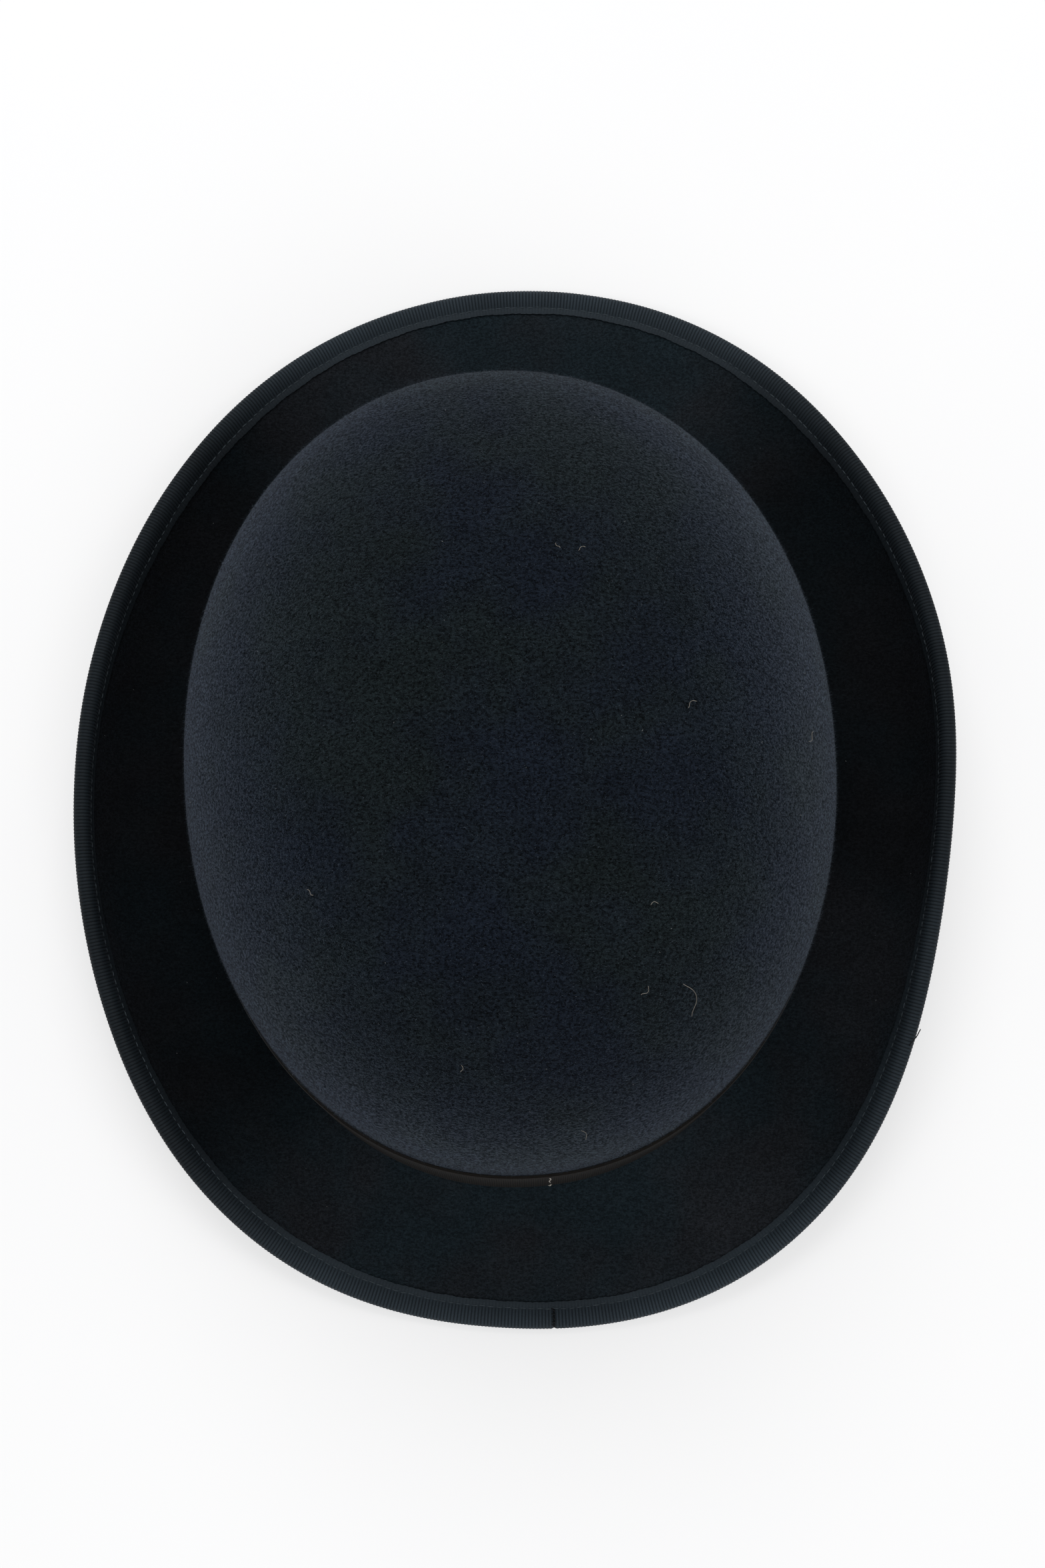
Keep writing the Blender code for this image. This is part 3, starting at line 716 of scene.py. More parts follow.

# %% [markdown]
# ## Ribbed ribbon
# Hat ribbon is grosgrain: thick weft threads make round ribs straight across it. The ribs catch the
# light and show as tiny steps on the brim's edge, so they are real here. Geometry Nodes lift the
# cloth along its normal by a wave that reads each point's rib number, so one tree serves every
# ribbon. The finish reads the same number for painted shade in the furrows and painted light on the
# rib tops, and adds the fine warp. The binding's colour also has painted shade at the hat's sides
# and painted light in front and behind.

# %% Ribbon finish and the rib tree
WARP_PITCH = 0.22 * MM


def ribbon_finish(name, dark, light, lie):
    """Cloth of a dark and a light thread. The last argument is painted light and shade: two factors on
    the colour, at the hat's sides and at its front and back.
    """
    ribbon = Finish(name, Roughness=0.6, Specular_IOR_Level=0.1, Sheen_Weight=0.04,
                    Sheen_Roughness=0.3, Sheen_Tint=ink(180, 190, 205))
    cloth = ribbon.cloth()
    warp = (ribbon.part(cloth, 1) * (math.tau / WARP_PITCH)).sine() * 0.5 + 0.5
    fibre = ribbon.noise(cloth, 1500, 3, 0.7, (1, 3, 1))
    age = ribbon.noise(ribbon.place(), 40, 3, 0.6)
    rib = ribbon.node("ShaderNodeAttribute", {"attribute_name": "rib"}, None, 2) * math.pi
    rib = rib.sine().absolute() ** 0.7
    shown = ribbon.node("ShaderNodeAttribute", {"attribute_name": "ribbed"}, None, 2)
    # Painted shade in the furrows between the ribs and painted light on their tops, where rows are
    # ribbed.
    painted_rib_light_and_shade = 0.8 + (0.42 - (1 - rib) * 0.9) * shown
    color = ribbon.blend(dark, light, fibre * 0.6 + warp * 0.25 + age * 0.4 - 0.15)
    # Painted light and shade round the hat, on top of the painted light and shade of the ribs.
    color = ribbon.shade(color, painted_rib_light_and_shade * ribbon.ends(*lie))
    return ribbon.wear(color, fibre * 0.3 + 0.45, fibre * 0.1 + warp * 0.1 + rib * shown, 0.16 * MM)


def rib_tree():
    """Lifts a ribbon's points into round ribs, one for each whole step of 'rib'."""
    tree = Growth("ribs", Height=0.1 * MM)
    round_top = (tree.named("rib") * math.pi).sine().absolute() ** 0.8
    lift = round_top * tree.named("ribbed") * tree.given("Height")
    offset = tree.vector("SCALE", tree.node("GeometryNodeInputNormal"), lift)
    tree.close(tree.node("GeometryNodeSetPosition", None, {0: tree.given("Geometry"), "Offset": offset}))
    return tree


RIBS = rib_tree()
# The binding's colour has painted shade at the hat's sides and painted light in front and behind; the
# band's factors are even.
BINDING_FINISH = ribbon_finish("binding_grosgrain", ink(9, 12, 15), ink(40, 48, 54), (0.78, 2.0))
BAND_FINISH = ribbon_finish("band_grosgrain", ink(14, 12, 11), ink(42, 38, 33), (1, 1))


def ribbed(name, loop, ribs, shown, finish, height, slot, node, whole=True):
    """A ribbon: ribs numbers its columns of points, and shown says how far each row is ribbed."""
    mesh = mesh_of(name, loop, whole)
    attribute(mesh, "rib", np.broadcast_to(ribs, loop.shape[:2]))
    shown = np.asarray(shown, float).reshape(len(loop), -1)
    attribute(mesh, "ribbed", np.broadcast_to(shown, loop.shape[:2]))
    grown = RIBS.run(mesh, finish, Height=height)
    grown.set_sharp_from_angle(angle=math.radians(60))
    return piece(name, grown, finish, slot, node)


print("the ribbons' warp threads lie", round(WARP_PITCH / MM, 2), "mm apart")

# %% [markdown]
# ## The binding
# A ribbon is folded over the brim's cut edge and stitched through both legs. It stands full over
# the fold and is drawn down where the stitches hold it, so the section follows a height along each
# leg rather than a plain U. Its ends meet at the back in a narrow gap.

# %% Frame of the brim's edge
NEAR_EDGE = 0.03          # share of the brim's width over which the edge's slope is read
STITCH_INSET = 0.0055     # from the fold to the seam


def edge_frame(turns):
    """Middle of the felt's edge, the way out of it and the way up from its top side."""
    rows = brim_rows(turns, (1 - NEAR_EDGE, 1.0))
    up = normals(rows)[1]
    out = unit(np.cross(onward(rows[1]), up))
    return rows[1] - FELT / 2 * up, out, up


def over_binding(edge, depth, lift):
    """In from the binding's fold by a depth, and lifted from the felt's middle."""
    middle, out, up = edge
    return middle + (FOLD_RADIUS - depth) * out + lift * up


def leg_lift(depth):
    """Height of the ribbon over the felt's middle: full at the fold, held down by the seam."""
    flat = FELT / 2 + RIBBON
    full = smooth((STITCH_INSET - 0.4 * MM - depth) / (2.2 * MM))
    seam = 0.22 * MM * math.exp(-((depth - STITCH_INSET) / (0.45 * MM)) ** 2)
    return between(flat, FOLD_RADIUS - 0.05 * MM, full) - seam


def edge_at(turn):
    """The frame at one place, from a fine ring of stations."""
    nearest = int(round(turn / math.tau * len(EDGE_TURNS)))
    return [part[nearest % len(EDGE_TURNS)] for part in FINE_EDGE]


EDGE_TURNS = np.arange(1440) * math.tau / 1440
FINE_EDGE = edge_frame(EDGE_TURNS)
print("the ribbon stands", round(leg_lift(0.003) / MM, 2), "mm at its fold and",
      round(leg_lift(STITCH_INSET) / MM, 2), "mm at its seam, from the felt's middle")

# %% The folded ribbon
RIB_PITCH, JOIN_TURN = 0.96 * MM, math.radians(94.5)
perimeter = even_turns(8, brim_outline)[1]
BINDING_RIBS = round(perimeter / RIB_PITCH)
PER_RIB = 4               # columns of points to each rib
TOP_LEG = np.array([7.3, 6.9, 6.2, 5.5, 4.9, 4.1, 3.2]) * MM     # rows in from the fold
UNDER_LEG = np.array([3.2, 4.6, 5.5, 7.3]) * MM
FOLD = np.radians([78, 50, 22, -8, -38, -68])
turns = even_turns(BINDING_RIBS * PER_RIB, brim_outline)[0]
edge = edge_frame(turns)
by_hand = 0.1 * MM * np.sin(23 * turns + 2 * np.sin(61 * turns))
inner_edge = 0.07 * MM * np.sin(BINDING_RIBS / 2 * turns) + by_hand
section = []
for depth in TOP_LEG:
    pull = inner_edge if depth > STITCH_INSET else 0 * inner_edge
    section.append(over_binding(edge, (depth + pull)[:, None], leg_lift(depth)))
middle, out, up = edge
for turn in FOLD:
    section.append(middle + FOLD_RADIUS * (math.cos(turn) * out + math.sin(turn) * up))
for depth in UNDER_LEG:
    section.append(over_binding(edge, depth, -leg_lift(depth)))
snug = FELT / 2 + 0.08 * MM
for depth, lift in ((BINDING_WIDTH, -snug), (2 * MM, -snug), (2 * MM, snug), (BINDING_WIDTH, snug)):
    section.append(over_binding(edge, depth, lift))
shown = np.tile(np.array([0.15, 0.15, 0.3, 0.35, 0.9, *[1] * 12, *[0] * 4])[:, None], len(turns))
from_join = np.abs(turns - JOIN_TURN) * perimeter / math.tau
shown[3:13, from_join < 0.55 * RIB_PITCH] = -1.6        # the gap where the ribbon's ends meet
ribs = np.arange(len(turns)) / PER_RIB
binding = ribbed("ribbon_binding", np.array(section), ribs, shown, BINDING_FINISH, 0.13 * MM,
                 "binding_ribbon", "brim_binding")

# %% [markdown]
# ## Stitches
# A lock stitch shows as a row of short bars that rise from one hole and dip into the next. One
# small bent bar is copied along each row by Geometry Nodes, turned to lie along the seam. The rows
# sewn by hand, here and inside the hat, use the same tree with other sizes.

# %% The stitch tree
def stitch_tree():
    """A bent bar at each point, along its 'run', arched towards its 'rise'."""
    tree = Growth("stitches", Length=1.9 * MM, Thickness=0.13 * MM, Arch=0.22 * MM)
    half = tree.given("Length") * 0.5
    dip = tree.given("Arch") * -1.0
    ends = [tree.node("ShaderNodeCombineXYZ", None, {0: x, 2: z})
            for x, z in ((half * -1.0, dip), (half * 0.0, tree.given("Arch")), (half, dip))]
    line = tree.node("GeometryNodeCurveQuadraticBezier", None,
                     {"Resolution": 5, "Start": ends[0], "Middle": ends[1], "End": ends[2]})
    ring = tree.node("GeometryNodeCurvePrimitiveCircle", None,
                     {"Resolution": 6, "Radius": tree.given("Thickness")})
    bar = tree.node("GeometryNodeCurveToMesh", None,
                    {"Curve": line, "Profile Curve": ring, "Fill Caps": True})
    turn = tree.node("FunctionNodeAlignRotationToVector", {"axis": "X"},
                     {"Vector": tree.named("run", "FLOAT_VECTOR")})
    turn = tree.node("FunctionNodeAlignRotationToVector", {"axis": "Z", "pivot_axis": "X"},
                     {"Rotation": turn, "Vector": tree.named("rise", "FLOAT_VECTOR")})
    size = tree.node("FunctionNodeRandomValue", {"data_type": "FLOAT"}, {2: 0.82, 3: 1.08}, 1)
    tree.close(tree.node("GeometryNodeInstanceOnPoints", None, {
        "Points": tree.given("Geometry"), "Instance": bar, "Rotation": turn, "Scale": size}))
    return tree


def sew(name, points, run, rise, thread, slot, *nodes, **sizes):
    """A piece of stitches at points, each along run with its back towards rise."""
    mesh = bpy.data.meshes.new("row")
    mesh.from_pydata(np.asarray(points).tolist(), [], [])
    attribute(mesh, "run", run, "FLOAT_VECTOR")
    attribute(mesh, "rise", rise, "FLOAT_VECTOR")
    made = STITCHES.run(mesh, thread, **sizes)
    made.shade_smooth()
    piece(name, made, thread, slot, *nodes)


def thread_finish(name, dark, light):
    thread = Finish(name, Roughness=0.55, Specular_IOR_Level=0.15, Sheen_Weight=0.05)
    twist = thread.noise(thread.place(), 2500, 2)
    return thread.wear(thread.blend(dark, light, twist), twist * 0.3 + 0.4)


STITCHES = stitch_tree()
SEAM_THREAD = thread_finish("seam_thread", ink(34, 41, 46), ink(74, 84, 90))
DARK_THREAD = thread_finish("dark_thread", ink(6, 7, 9), ink(22, 25, 29))
PALE_THREAD = thread_finish("pale_thread", ink(150, 145, 136), ink(205, 200, 190))
print("a stitch is", round(STITCHES.usual["Length"] / MM, 1), "mm long")

# %% The binding's seam, above and below
SEAM_PITCH = 2.35 * MM
seam_turns = even_turns(round(perimeter / SEAM_PITCH), brim_outline)[0]
seam_edge = edge_frame(seam_turns)
hand = np.random.default_rng(7)
wander = hand.normal(0, 0.09 * MM, (len(seam_turns), 1))
run = unit(np.cross(seam_edge[2], seam_edge[1])) + hand.normal(0, 0.05, (len(seam_turns), 3))
top = over_binding(seam_edge, STITCH_INSET + wander, leg_lift(STITCH_INSET) + 0.1 * MM)
sew("seam_stitches", top, run, seam_edge[2], SEAM_THREAD, "sewing_thread", "binding_thread")
under = over_binding(seam_edge, STITCH_INSET + wander, -leg_lift(STITCH_INSET) - 0.02 * MM)
sew("seam_stitches_under", under, run, -seam_edge[2], SEAM_THREAD, "sewing_thread", Arch=0.15 * MM)

# %% The binding's join at the back, and the end left loose
TAIL_TURN, THREAD_TAIL = math.radians(146.4), 0.0058
join = edge_at(JOIN_TURN)
join_around = unit(np.cross(join[2], join[1]))
depths = np.linspace(0.6 * MM, STITCH_INSET - 0.5 * MM, 5)
spots = [over_binding(join, depth, leg_lift(depth) + 0.12 * MM) for depth in depths]
slant = [join_around + (0.5 + 0.4 * (-1) ** i) * join[1] for i in range(len(depths))]
sew("join_stitches", spots, slant, [join[2]] * len(depths), DARK_THREAD, "sewing_thread",
    "binding_join_stitch", Length=1.5 * MM)

tail = edge_at(TAIL_TURN)
tail_around = unit(np.cross(tail[2], tail[1]))
share = np.linspace(0, 1, 28)[:, None]
start = over_binding(tail, 0.35 * MM, 0)
path = start + THREAD_TAIL * (share * tail_around + (0.5 * share + 0.04 * np.sin(6 * share)) * tail[1])
path = path + 0.25 * MM * np.sin(7 * share) * tail[2]
loop = strand(path, 0.14 * MM, around=12, lobes=3, lay=0.9 * MM)
skin("loose_end", loop, DARK_THREAD, "sewing_thread", "loose_thread_end", whole=False)

# %% [markdown]
# ## The band and its bow
# The band is the same kind of ribbon, wider and of a browner black, laid tight round the crown. At
# the back it is tacked with pale thread, in a short column of stitches. Its bow sits on the left, of
# a thinner ribbon: a flat length with slanted ends, two pressed loops, and a strip round their waist.

# %% The hat band
BAND_PITCH = 0.62 * MM
BAND_FACE = RIBBON_GAP + RIBBON    # the band's outside, out from the felt
girth_length = even_turns(8, girth)[1]
BAND_RIBS = round(girth_length / BAND_PITCH)
turns = even_turns(BAND_RIBS * PER_RIB, girth)[0]
band = []
for share, lift in ((0, 0.9), (0.03, 1.08), (0.07, 1.0), (0.5, 1.0), (0.93, 1.0), (0.97, 1.08), (1, 0.9)):
    foot = 0.3 * MM * np.clip(np.sin(turns), 0, 1) ** 4 * (1 - share) ** 3
    band.append(band_points(turns, BAND_LIFT + BAND_WIDTH * share, BAND_FACE * lift + foot))
band += [band_points(turns, BAND_LIFT + BAND_WIDTH * share, 0.3 * RIBBON_GAP) for share in (1, 0)]
shown = [0, 0.5, 1, 1, 1, 0.5, 0, 0, 0]
band = ribbed("ribbon_band", np.array(band), np.arange(len(turns)) / PER_RIB, shown, BAND_FINISH,
              0.08 * MM, "band_ribbon", "hat_band")

# %% The bow
BOW_LENGTH, BOW_WIDTH, BOW_DEPTH, KNOT_LENGTH = 0.066, 0.026, 0.00085, 0.012
BOW_RIBBON = 0.36 * MM             # the bow is of thinner ribbon than the band
ROWS_ACROSS = (1, 0.5, 0, -0.5, -1)


def bow_point(along, rise, depth):
    """On the bow: along the band from the left, up it, and out from it."""
    turn = LEFT + np.asarray(along) / CROWN_HALF_LENGTH
    rise = BAND_LIFT + BAND_WIDTH / 2 + np.asarray(rise)
    return band_points(turn, rise, BAND_FACE + 0.04 * MM + depth)


def bow_outline(length, depth, waist, count):
    """Plan of two pressed loops with a waist."""
    turn = np.arange(count) * math.tau / count
    along = np.cos(turn) * length / 2
    full = np.abs(np.sin(turn)) ** 0.6 * np.sign(np.sin(turn))
    pinch = waist + (1 - waist) * np.clip(np.abs(along) / (length * 0.24), 0, 1) ** 1.5
    return along, full * pinch * depth / 2


columns = int(BOW_LENGTH / BAND_PITCH * PER_RIB)
base_rows = []
for share in ROWS_ACROSS:
    end = BOW_LENGTH / 2 + CLEAR + BOW_WIDTH / 4 * share
    base_rows.append(bow_point(np.linspace(-end, end, columns), BOW_WIDTH / 2 * share, BOW_RIBBON / 2))
loop = wall_of(base_rows, BOW_RIBBON, whole=False)
tails = ribbed("bow_tails", loop, np.arange(columns) / PER_RIB, [1] * len(loop), BAND_FINISH,
               0.06 * MM, "band_ribbon", "bow_base", False)

columns = 2 * columns
along, out = bow_outline(BOW_LENGTH, BOW_DEPTH - BOW_RIBBON, 0.8, columns)
middle = BOW_RIBBON + 0.04 * MM + BOW_DEPTH / 2
loop_rows = []
for share in ROWS_ACROSS:
    pinch = 0.82 + 0.18 * smooth(np.abs(along) / (BOW_LENGTH * 0.3))
    loop_rows.append(bow_point(along, share * BOW_WIDTH / 2 * pinch, middle + out))
loop = wall_of(loop_rows, BOW_RIBBON)
run = run_length(loop_rows[2])
ribs = np.round(run[-1] / BAND_PITCH) * run / run[-1]
loops = ribbed("bow_ribbon_loops", loop, ribs, [1] * 5 + [0] * 5, BAND_FINISH, 0.06 * MM,
               "band_ribbon", "bow_loops")

# %% The bow's knot and the band's tack
half = BOW_WIDTH / 2 + CLEAR + BOW_RIBBON / 2
outer = BOW_RIBBON + BOW_DEPTH + 0.12 * MM + BOW_RIBBON / 2
corners = [(-half, BOW_RIBBON / 2), (-half, outer * 0.7), (-half * 0.96, outer), (-half * 0.4, outer),
           (half * 0.4, outer), (half * 0.96, outer), (half, outer * 0.7), (half, BOW_RIBBON / 2)]
at = np.linspace(0, len(corners) - 1, 64)
bend, lift = (np.interp(at, range(len(corners)), part) for part in zip(*corners))
knot_rows = []
for along in np.linspace(-KNOT_LENGTH / 2, KNOT_LENGTH / 2, 9):
    crown_up = 0.08 * MM * math.cos(math.pi * along / KNOT_LENGTH)
    knot_rows.append(bow_point(along, bend, lift + crown_up))
loop = wall_of(knot_rows, BOW_RIBBON, whole=False)
ribs = run_length(knot_rows[4]) / BAND_PITCH
ribbed("bow_waist", loop, ribs, [0] * len(loop), BAND_FINISH, 0.05 * MM, "band_ribbon", "bow_knot",
       False)

TACK_TURN, TACK_LENGTH = math.radians(95.5), 0.0025
rises = BAND_LIFT + CLEAR + TACK_LENGTH * np.linspace(0, 1, 12)
arch = BAND_FACE + 0.25 * MM + 0.2 * MM * np.sin(math.pi * np.linspace(0, 1, 12))
path = band_points(TACK_TURN + 0.003 * np.linspace(-1, 1, 12), rises, arch)
loop = strand(path, 0.2 * MM, around=12, lobes=3, lay=1.0 * MM)
skin("band_tack_stitch", loop, PALE_THREAD, "pale_thread", "band_tack", whole=False)
rises = BAND_LIFT + np.arange(5.0, 26.0, 2.6) * MM
level = np.ones(len(rises))
row = band_points(TACK_TURN + 0.002 * np.sin(2 * rises / MM), rises, BAND_FACE * level + 0.12 * MM)
out = unit(band_points(TACK_TURN, rises, MM * level) - band_points(TACK_TURN, rises, 0 * level))
sew("band_join_stitches", row, unit(np.gradient(row, axis=0)), out, PALE_THREAD, "pale_thread",
    Length=2.2 * MM, Thickness=0.15 * MM)

# %% [markdown]
# ## Inside the crown
# The leather is a strip stitched to the felt's turn through a taped reed, so that it can be turned
# out. Its ends meet at the back under a small flat bow. Leather isn't even: the finish has pebbled
# pores, slow stains where a head has rubbed it, and darker creases.

# %% Sizes inside
LEATHER, LEATHER_HEIGHT, LEATHER_TOP_GAP = 0.0009, 0.046, 0.0014
REED, TAPE, TAPE_TAIL = 0.0018, 0.0003, 0.006
REED_TURN, TAPE_WRAP = math.radians(40), 100      # degrees each way round the reed
SATIN, SATIN_GAP, LINING_FOOT, LINING_SEAM = 0.0004, 0.0007, 0.030, math.radians(50)
LINING_PARTING, PIPING = math.radians(2), 0.0016
SHIELD, SHIELD_HALF_WIDTH, SHIELD_HALF_LENGTH = 0.0003, 0.026, 0.036
LABEL_LENGTH, LABEL_WIDTH, PAPER, LABEL_GAP, TRIM_RISE = 0.022, 0.010, 0.0002, 0.006, 0.014
LACE_BOW_LENGTH, LACE_BOW_WIDTH, LACE_BOW_DEPTH = 0.026, 0.006, 0.0026
RING = np.arange(360) * math.tau / 360


def reed_centre(angle):
    """The reed's middle, in the felt's turn from crown to brim."""
    turn = math.pi / 2 + root_dip(angle)
    away = CROWN_FILLET + FELT + CLEAR + TAPE + CLEAR + REED / 2
    reach = wall_reach(angle, 0) + CROWN_FILLET - away * math.cos(REED_TURN)
    height = head_line(angle) + CROWN_FILLET * np.tan(turn / 2) - away * math.sin(REED_TURN)
    return reach, height


def lean(angle):
    """How much longer a step towards the middle is than the step across the wall."""
    slope = (girth(angle + 0.01) - girth(angle - 0.01)) / (0.02 * girth(angle))
    return np.sqrt(1 + slope ** 2)


def leather_rows(angle, lift, shares):
    """Rings on the leather, lifted towards the head from its middle."""
    reed, height = reed_centre(angle)
    foot, low = reed - REED / 2 - CLEAR - LEATHER / 2, height - REED / 2 - CLEAR - TAPE
    rows = []
    for share in shares:
        rise = LEATHER_HEIGHT * share
        top = wall_reach(angle, rise) - (FELT + LEATHER_TOP_GAP + LEATHER / 2) * lean(angle)
        rows.append(on_plan(angle, between(foot, top, share) - lift, low + rise))
    return np.array(rows)


def leather_point(along, rise, depth):
    """On the leather's inside at the back: along it, up it, and in from it."""
    angle = np.atleast_1d(BACK + np.asarray(along) / CROWN_HALF_WIDTH)
    share = np.atleast_1d(np.asarray(rise) / LEATHER_HEIGHT)
    depth = np.atleast_1d(LEATHER / 2 + np.asarray(depth))
    angle, share, depth = np.broadcast_arrays(angle, share, depth)
    spots = [leather_rows(angle[i:i + 1], depth[i], [share[i]])[0, 0] for i in range(len(angle))]
    return np.array(spots)


opening = run_length(leather_rows(RING, LEATHER / 2, [0.1])[0])[-1]
print("round the inside of the leather", round(opening * len(RING) / (len(RING) - 1) / MM), "mm")

# %% Leather, reed and tape
def leather_finish():
    leather = Finish("sweatband_leather", Specular_IOR_Level=0.45)
    cloth = leather.cloth()
    pores = leather.node("ShaderNodeTexVoronoi", {"feature": "DISTANCE_TO_EDGE"},
                         {"Vector": cloth, "Scale": 1500.0})
    pores = leather.step(pores, 0.0, 0.28)
    stain = leather.noise(leather.place(), 26, 4, 0.6)
    crease = leather.noise(cloth, 300, 3, 0.6, (0.5, 3, 1))
    color = leather.blend(ink(84, 49, 28), ink(138, 88, 54), stain * 0.8 + pores * 0.3 - 0.05)
    color = leather.blend(color, ink(56, 33, 20), leather.step(crease, 0.6, 0.78) * 0.6)
    return leather.wear(color, 0.62 - pores * 0.18 + stain * 0.1, pores + crease * 0.6, 0.09 * MM)


LEATHER_FINISH = leather_finish()
shares = [0, 0.02, *np.linspace(0.06, 0.94, 12), 0.975, 0.99]
rows = leather_rows(RING, 0, shares)
loop = wall_of(rows, LEATHER)
edge_round = leather_rows(RING, 0, [0.9985])
loop = np.concatenate([loop[:len(rows)], edge_round, loop[len(rows):]])
skin("leather_band", loop, LEATHER_FINISH, "leather", "sweatband", crease=80)

cane = Finish("reed_cane", Specular_IOR_Level=0.5)
fibre = cane.noise(cane.cloth(), 900, 3, 0.6, (0.2, 3, 1))
CANE = cane.wear(cane.blend(ink(150, 124, 84), ink(186, 160, 116), fibre), fibre * 0.3 + 0.35, fibre)
reach, height = reed_centre(RING)
loop = strand(on_plan(RING, reach, height), REED / 2, around=12, closed=True)
skin("reed_in_its_tape", loop, CANE, "reed", "sweatband_reed")


def cloth_finish(name, dark, light, thread, rough, **even):
    """A plain weave: over and under at a thread's pitch, with a slow change of colour."""
    weave = Finish(name, **even)
    cloth = weave.cloth()
    waves = [(weave.part(cloth, axis) * (math.tau / thread)).sine() for axis in (0, 1)]
    over = waves[0] * waves[1] * 0.5 + 0.5
    slub = weave.noise(cloth, 600, 3, 0.6, (0.4, 3, 1))
    age = weave.noise(weave.place(), 30, 3, 0.6)
    color = weave.blend(dark, light, over * 0.3 + slub * 0.4 + age * 0.5 - 0.1)
    return weave.wear(color, slub * 0.2 + rough, over + slub * 0.5, 0.04 * MM)


TAPE_FINISH = cloth_finish("reed_tape_cloth", ink(22, 23, 24), ink(52, 53, 55), 0.45 * MM, 0.5)
radius = REED / 2 + CLEAR + TAPE / 2
rows = [on_plan(RING, reach - radius * math.sin(math.radians(TAPE_WRAP - 90)), height + TAPE_TAIL)]
for turn in np.radians(np.linspace(TAPE_WRAP, -TAPE_WRAP, 13)):
    rows.append(on_plan(RING, reach + radius * math.cos(turn), height + radius * math.sin(turn)))
tape = skin("tape_round_reed", wall_of(rows, TAPE), TAPE_FINISH, "tape", "reed_tape")

# %% Stitches, seam, bow and label on the leather
TAN_THREAD = thread_finish("tan_thread", ink(120, 92, 58), ink(176, 148, 108))


def inwards(ways, places):
    """The same ways, turned round where they lead away from the hat's middle."""
    return ways * np.sign((ways * (on_plan(0, 0, 0) - places)).sum(axis=1, keepdims=True))


foot_share = REED * 2 / LEATHER_HEIGHT
seam_ring = even_turns(round(opening / (2.6 * MM)), girth)[0]
row = leather_rows(seam_ring, LEATHER / 2 + 0.12 * MM, [foot_share, foot_share + 0.02])
run = onward(row[0])
rise = inwards(unit(np.cross(row[1] - row[0], run)), row[0])
sew("leather_stitches", row[0], run, rise, TAN_THREAD, "pale_thread", "sweatband_thread",
    Length=2.0 * MM, Thickness=0.18 * MM)

SEAM_REACH = 0.0012
rises = between(TRIM_RISE + LACE_BOW_WIDTH, LEATHER_HEIGHT - 2 * SEAM_REACH, np.arange(11) / 10)
middle = leather_point(0, rises, 0.15 * MM)
across = unit(leather_point(MM, rises, 0) - leather_point(-MM, rises, 0))
crossed = np.concatenate([across + 0.9 * UP, across - 0.9 * UP])
rise = inwards(np.tile(unit(np.cross(across[0], UP)), (2 * len(rises), 1)), middle[0])
sew("leather_seam_stitches", np.concatenate([middle, middle]), crossed, rise, TAN_THREAD,
    "pale_thread", "sweatband_seam", Length=3.0 * MM)

LACE_FINISH = cloth_finish("lace_bow_ribbon", ink(18, 19, 21), ink(48, 50, 54), 0.35 * MM, 0.4)
along, out = bow_outline(LACE_BOW_LENGTH, LACE_BOW_DEPTH, 0.3, 96)
rows = []
for share in ROWS_ACROSS:
    pinch = 0.6 + 0.4 * smooth(np.abs(along) / (LACE_BOW_LENGTH * 0.3))
    bow_rise = TRIM_RISE + share * pinch * LACE_BOW_WIDTH / 2
    rows.append(leather_point(along, bow_rise, LACE_BOW_DEPTH / 2 + RIBBON + CLEAR + out))
skin("lace_bow", wall_of(rows, RIBBON), LACE_FINISH, "binding_ribbon", "sweatband_bow")
turn = np.linspace(0, math.tau, 24, endpoint=False)
rows = []
for along in np.linspace(-1.6, 1.6, 5) * MM:
    swell = 1.5 * MM + 0.3 * MM * math.cos(along / MM)
    rows.append(leather_point(along, TRIM_RISE + 1.5 * swell * np.sin(turn),
                              LACE_BOW_DEPTH / 2 + RIBBON + CLEAR + 0.8 * swell * np.cos(turn)))
loop = np.swapaxes(np.array(rows), 0, 1)
skin("lace_bow_waist", loop, LACE_FINISH, "binding_ribbon", whole=False)

paper = Finish("label_paper", Specular_IOR_Level=0.3)
fibre = paper.noise(paper.cloth(), 700, 4, 0.7)
foxing = paper.step(paper.noise(paper.place(), 190, 3, 0.6), 0.55, 0.8)
PAPER_FINISH = paper.wear(paper.blend(ink(216, 208, 186), ink(188, 168, 128), foxing), fibre * 0.2 + 0.7,
                          fibre, 0.03 * MM)
rows = []
for share in np.linspace(1, -1, 9):
    along = LACE_BOW_LENGTH / 2 + LABEL_GAP + np.linspace(0, LABEL_LENGTH, 25)
    curl = 0.25 * MM * np.linspace(-1, 1, 25) ** 4 + 0.1 * MM * share ** 2
    rows.append(leather_point(along, TRIM_RISE + share * LABEL_WIDTH / 2, CLEAR + curl))
loop = wall_of(rows, PAPER, whole=False)
skin("blank_label", loop, PAPER_FINISH, "paper", "size_label", whole=False)

# %% [markdown]
# ## The lining
# The lining is satin in two parts: a strip round the side, gathered a little into its seam, and an
# oval over the tip. A twisted cord hides the seam, and a clear lozenge keeps the tip clean. The
# gathers are waves in the rows, deepest at the seam, because a simulation of cloth held on both
# edges by stitches would only bring these waves back.

